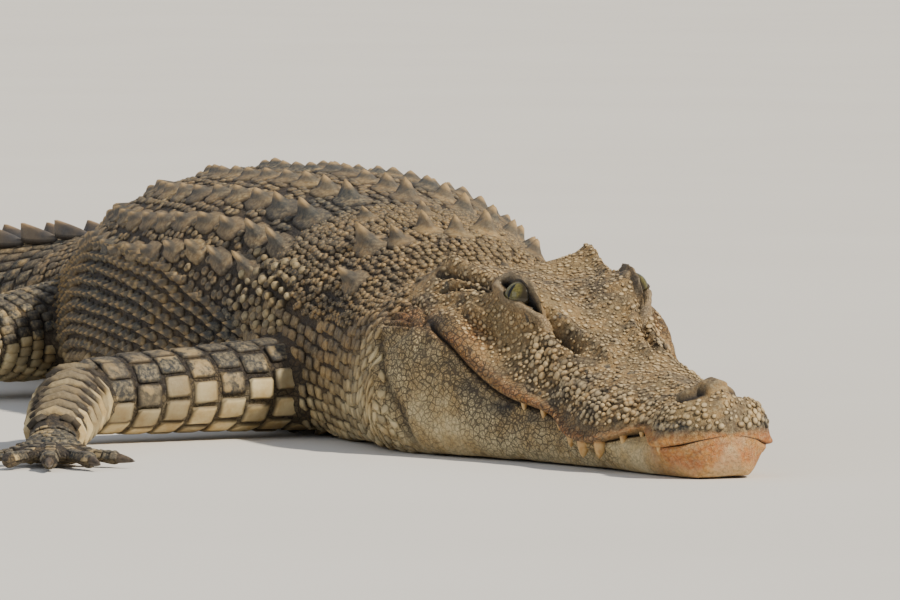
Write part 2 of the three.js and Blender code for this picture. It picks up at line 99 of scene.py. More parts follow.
def curve_rows(places, values, at):
    """A smooth curve over the places for each row of values, read off at one place or at many."""
    places = np.asarray(places, float)
    tangents = tangents_of(np.diff(values) / np.diff(places))
    x = np.clip(np.asarray(at, float), places[0], places[-1])
    i = np.clip(np.searchsorted(places, x, side="right") - 1, 0, len(places) - 2)
    width = places[i + 1] - places[i]
    low, high = values[..., i], values[..., i + 1]
    return hermite((x - places[i]) / width, width, low, high, tangents[..., i], tangents[..., i + 1])


def curve(*pairs):
    """A smooth curve through (place, value) pairs, for one place or an array of them."""
    places, values = np.array(pairs, float).T
    return lambda place: curve_rows(places, values, place)


def ramp(x, low, high):
    """Rises smoothly from 0 at low to 1 at high."""
    t = np.clip((np.asarray(x, float) - low) / (high - low), 0, 1)
    return t * t * (3 - 2 * t)


def bump(x, width):
    """A smooth bell of height 1 around 0."""
    return np.exp(-((np.asarray(x, float) / width) ** 2))


print("a curve from 0 to 1 passes", curve((0, 0), (1, 1))(0.5), "half way")

# %% [markdown]
# ## The outline of the living animal
# These are the same few places that shape the solids: the line of the back, the width, and on the head the
# brow, cheek, lip and jaw. The skin has to follow the solids, so it uses the same numbers in the same way.

# %% The spine and the outline
heading = curve((1, 9), (1.7, 3), (2.42, 0), (3, 8), (3.5, 26), (4.2, 42), (5.2, 46), (6.2, 26), (7.1, -4))
TRUNK_MIDDLE = 2.42
SPINE_STEP = 0.01
top_line = curve(
    (0, 0.15), (0.03, 0.168), (0.09, 0.186), (0.15, 0.166), (0.3, 0.18), (0.5, 0.228), (0.62, 0.285),
    (0.72, 0.325), (0.86, 0.352), (0.97, 0.362), (1.06, 0.352), (1.25, 0.405), (1.6, 0.46), (2.1, 0.515),
    (2.6, 0.51), (3, 0.44), (3.4, 0.35), (4.2, 0.275), (5.2, 0.205), (6.2, 0.13), (7.1, 0.05),
)
body_width = curve(
    (1, 0.3), (1.3, 0.3), (1.55, 0.335), (1.75, 0.39), (2.1, 0.465), (2.45, 0.495), (2.8, 0.45),
    (3.1, 0.355), (3.4, 0.265), (3.9, 0.2), (4.5, 0.155), (5.3, 0.11), (6.2, 0.065), (7.1, 0.022),
)
body_widest = curve((1, 0.15), (1.6, 0.15), (2.4, 0.14), (3.4, 0.17), (4.2, 0.155), (5.4, 0.1), (7.1, 0.025))
squareness = curve((1, 2.1), (1.7, 2.2), (2.4, 2.35), (3.2, 2.15), (4.4, 1.8), (7.1, 1.9))
brow_out = curve(
    (0, 0.07), (0.09, 0.074), (0.175, 0.06), (0.32, 0.09), (0.5, 0.095), (0.62, 0.105), (0.72, 0.128),
    (0.8, 0.13), (0.98, 0.144), (1.06, 0.142), (1.3, 0.17),
)
brow_up = curve(
    (0, 0.13), (0.09, 0.155), (0.175, 0.142), (0.32, 0.165), (0.5, 0.215), (0.62, 0.285), (0.69, 0.352),
    (0.745, 0.362), (0.8, 0.345), (0.88, 0.36), (0.98, 0.385), (1.03, 0.372), (1.1, 0.335), (1.3, 0.36),
)
cheek_out = curve(
    (0, 0.108), (0.09, 0.108), (0.175, 0.088), (0.32, 0.145), (0.45, 0.14), (0.6, 0.15), (0.7, 0.165),
    (0.8, 0.185), (0.9, 0.205), (1, 0.235), (1.12, 0.27),
)
cheek_up = curve(
    (0, 0.115), (0.09, 0.12), (0.175, 0.115), (0.32, 0.12), (0.5, 0.15), (0.65, 0.21), (0.75, 0.262),
    (0.85, 0.295), (1, 0.31), (1.12, 0.3),
)
lip_out = curve(
    (0, 0.12), (0.09, 0.12), (0.175, 0.1), (0.3, 0.155), (0.36, 0.165), (0.46, 0.158), (0.56, 0.176),
    (0.7, 0.222), (0.85, 0.27), (1, 0.295), (1.12, 0.3),
)
lip_up = curve(
    (0, 0.075), (0.09, 0.06), (0.175, 0.085), (0.31, 0.055), (0.4, 0.065), (0.49, 0.1), (0.62, 0.125),
    (0.72, 0.172), (0.8, 0.228), (0.88, 0.254), (1.2, 0.25),
)
jaw_out = curve(
    (0, 0.102), (0.1, 0.104), (0.175, 0.108), (0.3, 0.134), (0.45, 0.148), (0.6, 0.19), (0.75, 0.248),
    (0.9, 0.302), (1, 0.325), (1.12, 0.325),
)
jaw_up = curve((0, 0.045), (0.3, 0.035), (0.6, 0.05), (0.8, 0.075), (1, 0.1), (1.12, 0.11))
under_jaw = curve((0, 0.06), (0.1, 0.07), (0.3, 0.095), (0.6, 0.15), (0.85, 0.235), (1.12, 0.26))
TIP = {"width": 0.1, "height": 0.045, "middle": 0.09}
HEAD_LEAN = 0.36  # the skull is tipped over towards its right side by this slope
ANCHOR_SHARES = [0, 0.2, 0.4, 0.56, 0.72, 0.86, 1]
ANCHOR_ANGLES = [0, 32, 66, 90, 116, 142, 180]
NECK_FROM, NECK_TO = 0.98, 1.3  # stations between which the head's section turns into the body's

spine_stations = np.arange(round(TAIL_TIP / SPINE_STEP) + 1) * SPINE_STEP


def integrate_spine():
    """Adds up small steps along the heading, both ways from the middle of the trunk."""
    angle = np.radians(heading((spine_stations[:-1] + spine_stations[1:]) / 2))
    steps = np.stack([np.cos(angle), np.sin(angle)], axis=1) * SPINE_STEP
    along = np.concatenate([[[0, 0]], -np.cumsum(steps, axis=0)])
    return along - along[round(TRUNK_MIDDLE / SPINE_STEP)]


spine = integrate_spine()


def to_world(station, left, up):
    """Metres in the model's frame, from a place left of the spine and above the floor in head lengths."""
    angle = np.radians(heading(station))
    x = np.interp(station, spine_stations, spine[:, 0]) - np.sin(angle) * left
    y = np.interp(station, spine_stations, spine[:, 1]) + np.cos(angle) * left
    return np.stack(np.broadcast_arrays(x, y, up), axis=-1) * HEAD


print("the snout tip is at", to_world(0.0, 0.0, 0.09).round(3))

# %% The section of head and body at each station
def round_end(at, radius):
    return np.sqrt(np.clip(1 - (1 - np.minimum(at / radius, 1)) ** 2, 0, 1))


def head_section(stations, share):
    wide = round_end(stations + 0.002, TIP["width"])[:, None]
    tall = round_end(stations + 0.004, TIP["height"])[:, None]
    nil = np.zeros_like(stations)
    out = np.stack([nil, brow_out(stations), cheek_out(stations), lip_out(stations), jaw_out(stations),
                    under_jaw(stations), nil], axis=1) * wide
    up = np.stack([top_line(stations), brow_up(stations), cheek_up(stations), lip_up(stations),
                   jaw_up(stations), nil, nil], axis=1)
    up = TIP["middle"] + (up - TIP["middle"]) * tall
    return curve_rows(ANCHOR_SHARES, out, share), curve_rows(ANCHOR_SHARES, up, share)


def body_section(stations, share):
    angle = np.radians(curve(*zip(ANCHOR_SHARES, ANCHOR_ANGLES))(share))[None, :]
    width, widest, square = (f(stations)[:, None] for f in (body_width, body_widest, squareness))
    above = top_line(stations)[:, None] - widest
    below = widest * (1.6 - 0.45 * ramp(stations, 3, 3.8))[:, None]
    upright = np.abs(np.cos(angle)) ** (2 / square)
    up = widest + np.where(angle < math.pi / 2, above, -below) * upright
    return width * np.abs(np.sin(angle)) ** (2 / square), np.maximum(up, 0)


def body_points(stations, around):
    """Points on the outline: around 0 to 0.5 goes down the right side, 0.5 to 1 comes up the left."""
    share = 1 - np.abs(1 - 2 * around)
    side = np.where(around <= 0.5, RIGHT, LEFT)
    head_out, head_up = head_section(np.minimum(stations, NECK_TO), share)
    body_out, body_up = body_section(np.maximum(stations, NECK_FROM), share)
    body = ramp(stations, NECK_FROM, NECK_TO)[:, None]
    left = side * (head_out + (body_out - head_out) * body)
    up = head_up + (body_up - head_up) * body
    over_mouth = np.maximum(up - lip_up(stations)[:, None], 0)
    up = up + over_mouth * HEAD_LEAN * left * (1 - body)
    return to_world(stations[:, None], left, up)


print("girth at the trunk:", round(float(np.linalg.norm(np.diff(
    body_points(np.array([2.4]), np.linspace(0, 1, 200))[0], axis=0), axis=1).sum()), 2), "m")

# %% [markdown]
# ## Uneven ground: noise and lines on the skin
# Living skin is never even. A cheap noise that gives every place in space its own value, the same on each
# run, breaks up the smooth curves. Folds and ridges follow lines, so a second helper tells how far each
# place of the skin lies from a line of a few (station, share) places, and how far along it.

# %% Helpers for an uneven surface
def noise(points, size, seed):
    """Smooth values from -1 to 1 in space, with lumps about as large as size."""
    table = np.random.default_rng(seed).uniform(-1, 1, 4096)
    cell = np.floor(points / size).astype(np.int64)
    part = points / size - cell
    part = part * part * (3 - 2 * part)
    total = np.zeros(points.shape[:-1])
    for corner in np.ndindex(2, 2, 2):
        place = cell + np.array(corner)
        key = (place[..., 0] * 73856093) ^ (place[..., 1] * 19349663) ^ (place[..., 2] * 83492791)
        weight = np.prod(np.where(np.array(corner) == 1, part, 1 - part), axis=-1)
        total += weight * table[key & 4095]
    return total


def from_line(station, share, line):
    """Distance to a line of (station, share) places, signed with + above it, and the way along it."""
    best = np.full(np.shape(station), 9.0)
    signed = best.copy()
    along = np.zeros(np.shape(station))
    ends = np.array(line, float)
    for i, (a, b) in enumerate(zip(ends[:-1], ends[1:])):
        step = b - a
        px, py = station - a[0], share - a[1]
        t = np.clip((px * step[0] + py * step[1]) / (step @ step), 0, 1)
        dx, dy = px - t * step[0], py - t * step[1]
        distance = np.hypot(dx, dy)
        nearer = distance < best
        best = np.where(nearer, distance, best)
        signed = np.where(nearer, distance * np.sign(-dy), signed)
        along = np.where(nearer, (i + t) / (len(ends) - 1), along)
    return signed, along


def fold(station, share, line, height, width, taper=0.15):
    """A ridge (or with a negative height a groove) along a line, which fades at both ends."""
    distance, along = from_line(station, share, line)
    fade = ramp(along, 0, taper) * (1 - ramp(along, 1 - taper, 1))
    return height * bump(distance, width) * fade


print("noise at three places:", noise(np.eye(3), 0.3, 1).round(2))

# %% [markdown]
# ## The relief of the head
# The skull shows through: a ridge runs from each eye down the snout, the brow ends in a horn, and the ear
# lies in a slit under it. The upper lip overhangs the lower jaw and its edge rolls up at the corner of the
# mouth. Each of these is one line or one spot with a height in metres, so it can be found and changed by
# its name.

# %% Ridges, folds and hollows of the head
EYE = {"station": 0.712, "out": 0.117, "up": 0.322, "radius": 0.036}
SHELF_SHADOW = [(0.775, 0.225), (0.86, 0.24), (0.95, 0.27), (0.99, 0.3)]
EAR_SLIT = [(0.95, 0.37), (0.87, 0.29), (0.78, 0.25)]
EYE_HOLLOW = [(0.64, 0.235), (0.575, 0.175), (0.51, 0.135)]
MOUTH = [(-0.05, 0.57), (0.5, 0.57), (0.7, 0.555), (0.8, 0.535), (0.88, 0.49)]
JAW_CREASE = [(1.02, 0.56), (0.97, 0.65), (0.9, 0.72), (0.885, 0.86)]
NOSTRIL = [(0.128, 0.21), (0.1, 0.18), (0.08, 0.12), (0.072, 0.05)]


def head_shadows(station, share):
    """Painted shade on the head's skin, where shade falls in the slits, along the closed mouth and in the
    deep folds.
    """
    dark = 0.75 * fold(station, share, SHELF_SHADOW, 1, 0.02)
    dark = np.maximum(dark, fold(station, share, EAR_SLIT, 1, 0.009))
    dark = np.maximum(dark, 0.8 * fold(station, share, EYE_HOLLOW, 1, 0.026, 0.3))
    dark = np.maximum(dark, fold(station, share, MOUTH, 1, 0.01, 0.02))
    dark = np.maximum(dark, 0.7 * fold(station, share, JAW_CREASE, 1, 0.014, 0.2))
    return np.maximum(dark, fold(station, share, NOSTRIL, 1, 0.017, 0.15))


def head_relief(station, share, points):
    """How far the head's skin stands out from the plain section, in metres."""
    s, a = station, share
    mm = 0.001
    brow_shelf = [(0.755, 0.175), (0.83, 0.18), (0.92, 0.195), (1.01, 0.215)]
    relief = fold(s, a, brow_shelf, 7 * mm, 0.024)
    relief += fold(s, a, SHELF_SHADOW, -9 * mm, 0.02)
    relief += 4 * mm * bump(s - 0.99, 0.03) * bump(a - 0.21, 0.05)  # horn
    relief += fold(s, a, EAR_SLIT, -6 * mm, 0.01)
    relief += fold(s, a, [(0.93, 0.31), (0.86, 0.255), (0.8, 0.235)], 3 * mm, 0.012)  # flap over the ear
    relief += fold(s, a, [(0.97, 0.42), (0.9, 0.36), (0.81, 0.3)], 3 * mm, 0.02)  # temple under the ear
    relief += fold(s, a, [(0.65, 0.165), (0.58, 0.115), (0.5, 0.085), (0.42, 0.09)], 9 * mm, 0.024)
    relief += fold(s, a, EYE_HOLLOW, -15 * mm, 0.03, 0.3)
    relief += 8 * mm * bump(s - 0.785, 0.04) * bump(a - 0.365, 0.035)  # cheek
    relief += fold(s, a, [(0.71, 0.41), (0.77, 0.425), (0.84, 0.4)], -4 * mm, 0.012)
    lip_edge = [(-0.02, 0.54), (0.3, 0.54), (0.6, 0.52), (0.76, 0.49), (0.875, 0.445)]
    behind_tip = ramp(s, 0.02, 0.1)
    relief += behind_tip * fold(s, a, lip_edge, 5.5 * mm, 0.026, 0.05)  # rolled edge of the upper lip
    under, along = from_line(s, a, MOUTH)
    closing = 1 - ramp(along, 0.86, 1.0)
    relief -= (6 + 3 * behind_tip) * mm * bump(under, 0.011) * closing  # the closed mouth
    relief -= 3 * mm * bump(s - 0.02, 0.04) * bump(a - 0.54, 0.04)  # blunts the lip at the tip of the snout
    jaw_depth = 3 * mm * ramp(-under, -0.004, 0.008) * (1 - ramp(-under, 0.03, 0.09))
    relief -= jaw_depth * closing * (1 - ramp(s, 0.85, 0.9))
    relief += fold(s, a, [(0.93, 0.44), (0.885, 0.5), (0.86, 0.56), (0.85, 0.62)], -3 * mm, 0.012)
    relief += fold(s, a, [(0.96, 0.47), (0.92, 0.53), (0.895, 0.6)], -2.5 * mm, 0.012)
    relief += fold(s, a, JAW_CREASE, -6 * mm, 0.018, 0.2)
    relief += fold(s, a, [(1.04, 0.44), (1.0, 0.5), (0.98, 0.56)], -3 * mm, 0.02)
    for low, high in ((0.44, 0.4), (0.475, 0.45), (0.51, 0.5), (0.545, 0.55), (0.575, 0.6), (0.6, 0.65)):
        relief += fold(s, a, [(0.87, 0.51), (0.93, low), (1.02, high)], -3.4 * mm, 0.009)  # wrinkles
    for at in (0.7, 0.76, 0.82):
        relief += fold(s, a, [(at, 0.57), (at + 0.05, 0.62), (at + 0.06, 0.7)], -2.2 * mm, 0.01)
    relief += 3 * mm * bump(s - 0.88, 0.05) * bump(a - 0.63, 0.06)  # jaw muscle
    relief -= 4 * mm * bump(s - 0.88, 0.045) * bump(a - 0.07, 0.045)  # hollow of the skull table
    relief -= 5 * mm * bump(s - 0.7, 0.05) * bump(a, 0.06)  # dip between the eyes
    disc = np.hypot((s - 0.105) / 0.052, a / 0.2)
    relief += 5 * mm * (1 - ramp(disc, 0.75, 1.05)) - 3 * mm * bump(disc - 1.15, 0.12)  # nose disc
    relief += fold(s, a, NOSTRIL, -11 * mm, 0.018, 0.15)
    for i in range(6):  # the jaw edge swells over the roots of the large teeth
        at = 0.07 + 0.105 * i
        relief += 2.5 * mm * bump(s - at, 0.03) * bump(a - 0.5, 0.06)
        relief += 2.5 * mm * bump(s - at - 0.05, 0.026) * bump(a - 0.64, 0.05)
    rough = ramp(s, 0.05, 0.15) * (1 - ramp(s, 0.62, 0.8)) * (1 - ramp(a, 0.44, 0.52))
    side_of_snout = bump(a - 0.33, 0.14) * ramp(s, 0.14, 0.3)
    relief += rough * (0.6 + 0.8 * side_of_snout) * 2.2 * mm * noise(points, 0.016, 3)
    relief += rough * (0.5 + 1.0 * side_of_snout) * 1.2 * mm * noise(points, 0.007, 4)
    wrinkled = ramp(a, 0.42, 0.5) * (1 - ramp(a, 0.75, 0.9)) * ramp(s, 0.3, 0.5)
    relief += 0.9 * mm * wrinkled * noise(points * [1.0, 1.0, 2.2], 0.011, 8)
    relief += 1.2 * mm * noise(points, 0.035, 5)
    return relief * (1 - ramp(s, 1.02, 1.12)) * ramp(s, 0.003, 0.045)


print("the snout ridge stands", round(float(head_relief(
    np.array(0.58), np.array(0.115), np.zeros(3))) * 1000, 1), "mm proud")

# %% [markdown]
# ## The skin of head, neck, trunk and tail
# One tube of rings runs from the snout to the tip of the tail. The head needs about six times finer rings
# than the rest, so one row of joining triangles halves the number of columns behind the skull. The skin
# lies a little inside the solids, by the depth of the scales that will cover it.

# %% The tube of skin
coat_depth = curve(
    (0, 0.0015), (1.0, 0.002), (1.2, 0.0045), (2, 0.007), (3.4, 0.006), (5, 0.004), (7.1, 0.002),
)
FLOOR_GAP = 0.0015  # the skin of the belly hangs this far above the floor, on its scales
SOCKET_DEPTH = 0.024  # room for an eye and its lids
HEAD_SKIN_END, SKIN_END = 1.1, 7.115  # stations where the skin gets coarser, and where it ends


def spread(low, high, count, density):
    """Places from low to high that lie closer together where the density is high."""
    fine = np.linspace(low, high, 2000)
    total = np.concatenate([[0], np.cumsum((density(fine)[1:] + density(fine)[:-1]) / 2)])
    return np.interp(np.linspace(0, total[-1], count), total, fine)


def around_of(shares):
    """The way round of one side's shares: from the back down the right side, and up the left."""
    return np.concatenate([shares / 2, 1 - shares[-2:0:-1] / 2])


def grid_normals(points):
    """Unit normals of rings of points."""
    along = np.gradient(points, axis=0)
    across = (np.roll(points, -1, axis=1) - np.roll(points, 1, axis=1)) / 2
    normal = np.cross(along, across)
    return normal / np.maximum(np.linalg.norm(normal, axis=-1, keepdims=True), 1e-9)


def skin_points(stations, around, sockets=False):
    """The finished skin of the body, with its relief, sunk by the depth of the scales."""
    points = body_points(stations, around)
    normals = grid_normals(points)
    share = 1 - np.abs(1 - 2 * around)[None, :] + 0 * stations[:, None]
    station = stations[:, None] + 0 * share
    relief = head_relief(station, share, points) - coat_depth(station)
    relief += 0.003 * ramp(station, 1.1, 1.4) * noise(points, 0.12, 6)
    if sockets:
        relief -= SOCKET_DEPTH * (1 - ramp(eye_reach(station, share), 1.15, 1.4))
    points = points + normals * relief[..., None]
    points[..., 2] = np.maximum(points[..., 2], FLOOR_GAP)
    return points


EYE_OPENING = [  # (station, share) places round the lids' edge, from the rear corner over the top
    (0.768, 0.235), (0.752, 0.2), (0.722, 0.183), (0.69, 0.187), (0.66, 0.197), (0.626, 0.21),
    (0.648, 0.248), (0.675, 0.272), (0.71, 0.282), (0.745, 0.265),
]


def between_two(a, b, c, d, f):
    """The place at f on the way from b to c, on a smooth curve that comes from a and goes on to d."""
    return 0.5 * (2 * b + (c - a) * f + (2 * a - 5 * b + 4 * c - d) * f**2 + (3 * b - a - 3 * c + d) * f**3)


def closed_curve(places, count):
    """Evenly sampled smooth loop through the places."""
    p = np.array(places, float)
    t = np.arange(count) * len(p) / count
    i = t.astype(int)
    f = (t - i)[:, None]
    return between_two(*(p[(i + k) % len(p)] for k in (-1, 0, 1, 2)), f)


SHARE_LENGTH = 2.0  # round the eye, a share of the way round is about as long as two stations
eye_loop = closed_curve(EYE_OPENING, 72)
eye_middle = eye_loop.mean(axis=0)
loop_along, loop_round = (eye_loop - eye_middle).T * [[1.0], [SHARE_LENGTH]]
loop_angles = np.arctan2(loop_round, loop_along)
loop_order = np.argsort(loop_angles)
loop_radius = np.hypot(loop_along, loop_round)


def eye_reach(station, share):
    """1 on the edge of the eye's opening, less inside and more outside."""
    along, around = station - eye_middle[0], (share - eye_middle[1]) * SHARE_LENGTH
    angle = np.arctan2(around, along)
    edge = np.interp(angle, loop_angles[loop_order], loop_radius[loop_order], period=2 * math.pi)
    return np.hypot(along, around) / edge


def share_density(share):
    return 1 + 1.8 * bump(share - 0.555, 0.045) + 0.9 * bump(share - 0.25, 0.13) - 0.4 * ramp(share, 0.75, 1)


head_shares = spread(0, 1, 121, share_density)
head_stations = spread(
    0, HEAD_SKIN_END, 222, lambda s: 1 + 2.5 * bump(s, 0.04) + 0.8 * bump(s - 0.7, 0.12))
body_stations = spread(HEAD_SKIN_END, SKIN_END, 200, lambda s: 1 + 0 * s)[1:]
head_grid = skin_points(head_stations, around_of(head_shares), sockets=True)
body_grid = skin_points(body_stations, around_of(head_shares[::2]))
print("skin:", head_grid.shape[:2], "points on the head and", body_grid.shape[:2], "behind it")


# %% Rings become faces
def ring_faces(first, rings, columns):
    """Quads between rings of points that are numbered one ring after the other."""
    ring = np.arange(rings - 1)[:, None] * columns + first
    k = np.arange(columns)[None, :]
    after = (k + 1) % columns
    quads = np.stack([ring + k, ring + columns + k, ring + columns + after, ring + after], axis=-1)
    return quads.reshape(-1, 4)


def tube_faces(rings, columns):
    """Faces of a tube of rings with a flat end at each side."""
    start = np.arange(columns)[None, ::-1]
    end = np.arange((rings - 1) * columns, rings * columns)[None, :]
    return [ring_faces(0, rings, columns)[:, ::-1], start, end]


def halving_faces(fine_first, coarse_first, coarse):
    """Triangles that join a ring to one with half as many points."""
    k = np.arange(coarse)
    after = (k + 1) % coarse
    fine = fine_first + 2 * k
    middle = fine + 1
    end = fine_first + 2 * after
    near = np.stack([coarse_first + k, middle, fine], axis=1)
    wide = np.stack([coarse_first + k, coarse_first + after, middle], axis=1)
    far = np.stack([coarse_first + after, end, middle], axis=1)
    return np.concatenate([near, wide, far])


def cap(points, ring, bulge, first_new, outward_last):
    """Rings that shrink to a point and close the end of a tube."""
    centre = points[ring].mean(axis=0)
    rings = [centre + (points[ring] - centre) * k + bulge * (1 - k * k) for k in (0.75, 0.5, 0.25)]
    extra = np.concatenate(rings + [[centre + bulge]])
    n = len(ring)
    faces = []
    loops = [np.asarray(ring)] + [first_new + i * n + np.arange(n) for i in range(3)]
    for outer, inner in zip(loops[:-1], loops[1:]):
        quad = np.stack([outer, inner, np.roll(inner, -1), np.roll(outer, -1)], axis=1)
        faces.append(quad if outward_last else quad[:, ::-1])
    apex = np.full(n, first_new + 3 * n)
    fan = np.stack([loops[-1], apex, np.roll(loops[-1], -1)], axis=1)
    return extra, faces + [fan if outward_last else fan[:, ::-1]]


def mesh_from(name, points, faces):
    """A mesh from an array of points and a list of face arrays, each with its own number of corners."""
    mesh = bpy.data.meshes.new(name)
    corners = np.concatenate([np.asarray(f).reshape(-1) for f in faces]).astype(np.int32)
    counts = np.concatenate([np.full(len(f), np.shape(f)[1]) for f in faces]).astype(np.int32)
    mesh.vertices.add(len(points))
    mesh.vertices.foreach_set("co", np.asarray(points, np.float32).reshape(-1))
    mesh.loops.add(len(corners))
    mesh.loops.foreach_set("vertex_index", corners)
    mesh.polygons.add(len(counts))
    mesh.polygons.foreach_set("loop_start", np.concatenate([[0], np.cumsum(counts)[:-1]]).astype(np.int32))
    mesh.update(calc_edges=True)
    mesh.validate()
    mesh.polygons.foreach_set("use_smooth", np.ones(len(mesh.polygons), bool))
    return mesh


def store(mesh, **marks):
    """Keeps a number for each point of the mesh under each name, for the finishes to read."""
    for name, values in marks.items():
        layer = mesh.attributes.new(name, "FLOAT", "POINT")
        layer.data.foreach_set("value", np.asarray(values, np.float32).reshape(-1))


def grid_faces(rows, columns):
    """Quads between rows of points, and the points of the rim in order."""
    i, j = np.meshgrid(np.arange(rows - 1), np.arange(columns - 1), indexing="ij")
    first = (i * columns + j).reshape(-1)
    quads = np.stack([first, first + columns, first + columns + 1, first + 1], axis=-1)
    rim = [*range(columns), *(i * columns + columns - 1 for i in range(1, rows))]
    rim += [(rows - 1) * columns + j for j in range(columns - 2, -1, -1)]
    rim += [i * columns for i in range(rows - 2, 0, -1)]
    return quads, np.array(rim)


def triangles_of(mesh):
    return sum(len(face.vertices) - 2 for face in mesh.polygons)


def new_object(name, mesh):
    piece = bpy.data.objects.new(name, mesh)
    bpy.context.scene.collection.objects.link(piece)
    return piece


def body_tube():
    rings, fine = head_grid.shape[:2]
    back_rings, coarse = body_grid.shape[:2]
    points = np.concatenate([head_grid.reshape(-1, 3), body_grid.reshape(-1, 3)])
    start = rings * fine
    faces = [ring_faces(0, rings, fine), ring_faces(start, back_rings, coarse)]
    faces.append(halving_faces(start - fine, start, coarse))
    nose, nose_faces = cap(points, np.arange(fine), np.array([0.0015, 0, 0]), len(points), False)
    last_ring = np.arange(len(points) - coarse, len(points))
    points = np.concatenate([points, nose])
    end, end_faces = cap(points, last_ring, np.array([-0.002, 0, 0]), len(points), True)
    return mesh_from("hide", np.concatenate([points, end]), faces + nose_faces + end_faces)


body_mesh = body_tube()
print("the tube of skin has", len(body_mesh.polygons), "faces")

# %% [markdown]
# ## The legs
# A leg is an upper and a lower segment, a flat sole and toes that spread from it. Each of these is a tube
# of ellipses with round ends, set at the same joints as the solids. They overlap, so that a union can weld
# them to one another and to the trunk, as flesh grows together at a shoulder.

# %% Where each leg's joints are
def limb_place(root, side):
    """Turns (ahead, outwards, up) in head lengths from the spine into a place in the frame."""
    angle = math.radians(float(heading(root)))
    origin = to_world(root, 0.0, 0.0)
    ahead = np.array([math.cos(angle), math.sin(angle), 0])
    outwards = np.array([-math.sin(angle), math.cos(angle), 0]) * side

    def place(forward, out, up):
        point = origin + (ahead * forward + outwards * out) * HEAD
        point[2] = up * HEAD
        return point

    return place


FORE = {
    "station": 1.55, "root": (0.02, 0.2, 0.11),
    "upper": (curve((0, 0.12), (0.5, 0.1), (1, 0.08)), curve((0, 0.11), (0.5, 0.09), (1, 0.08))),
    "lower": (curve((0, 0.076), (0.3, 0.078), (1, 0.056)), curve((0, 0.076), (0.3, 0.07), (1, 0.045))),
    "heel_up": 0.036, "ball": (0.13, 0.028),
    "sole": (curve((0, 0.062), (1, 0.078)), curve((0, 0.046), (1, 0.034))),
    "turns": (-0.62, -0.3, 0, 0.32, 0.68), "lengths": (0.22, 0.27, 0.29, 0.26, 0.2), "toe": 0.024,
    "toe_up": 0.019,
}
HIND = {
    "station": 3.12, "root": (0, 0.16, 0.16),
    "upper": (curve((0, 0.15), (0.5, 0.125), (1, 0.085)), curve((0, 0.13), (0.5, 0.11), (1, 0.085))),
    "lower": (curve((0, 0.082), (0.3, 0.085), (1, 0.052)), curve((0, 0.08), (0.3, 0.08), (1, 0.05))),
    "heel_up": 0.04, "ball": (0.24, 0.03),
    "sole": (curve((0, 0.055), (1, 0.09)), curve((0, 0.05), (1, 0.032))),
    "turns": (-0.42, -0.16, 0.1, 0.38), "lengths": (0.4, 0.48, 0.47, 0.38), "toe": 0.026,
    "toe_up": 0.02,
}
POSES = {
    "foreleg_right": (FORE, RIGHT, (0.17, 0.78, 0.095), (0.64, 0.97, 0.045), (0.92, 1.06, 0.03)),
    "foreleg_left": (FORE, LEFT, (-0.44, 0.56, 0.1), (-0.12, 0.52, 0.05), (0.1, 0.52, 0.03)),
    "hind_leg_right": (HIND, RIGHT, (0.2, 0.64, 0.12), (-0.12, 0.82, 0.06), (0.14, 1.1, 0.03)),
    "hind_leg_left": (HIND, LEFT, (0.26, 0.54, 0.12), (-0.06, 0.64, 0.06), (0.16, 0.84, 0.03)),
}


class Segment:
    """A tube of ellipses from one joint to the next. share runs along it, and turn goes once round it."""

    def __init__(self, start, stop, flat, tall, sunk):
        self.start = start
        self.length = float(np.linalg.norm(stop - start))
        self.along = (stop - start) / self.length
        self.side = np.cross([0, 0, 1], self.along)
        self.side /= np.linalg.norm(self.side)
        self.above = np.cross(self.along, self.side)
        self.flat, self.tall, self.sunk = flat, tall, sunk

    def point(self, share, turn):
        """The place at a share of the way along and a turn round, from the side over the top."""
        flat, tall = self.flat(share) * HEAD, self.tall(share) * HEAD
        end = np.minimum(flat, tall)
        room = np.minimum(share, 1 - share) * (self.length + end) + 0.02 * end
        rounding = round_end(room, end)
        reach = share * (self.length + end) - end / 2
        angle = 2 * np.pi * turn
        across = (flat - self.sunk) * rounding * np.cos(angle)
        up = (tall - self.sunk) * rounding * np.sin(angle)
        moved = reach[..., None] * self.along + across[..., None] * self.side
        return self.start + (moved + up[..., None] * self.above)

    def mesh(self, name, sides, rings):
        share = 0.5 - 0.5 * np.cos(np.pi * np.arange(rings) / (rings - 1))
        turn = np.arange(sides) / sides
        points = self.point(share[:, None] + 0 * turn, turn[None, :] + 0 * share[:, None])
        points[..., 2] = np.maximum(points[..., 2], FLOOR_GAP)
        return mesh_from(name, points.reshape(-1, 3), tube_faces(rings, sides))


LIMB_COAT = 0.004  # depth of the plates on the legs
TOE_COAT = 0.002


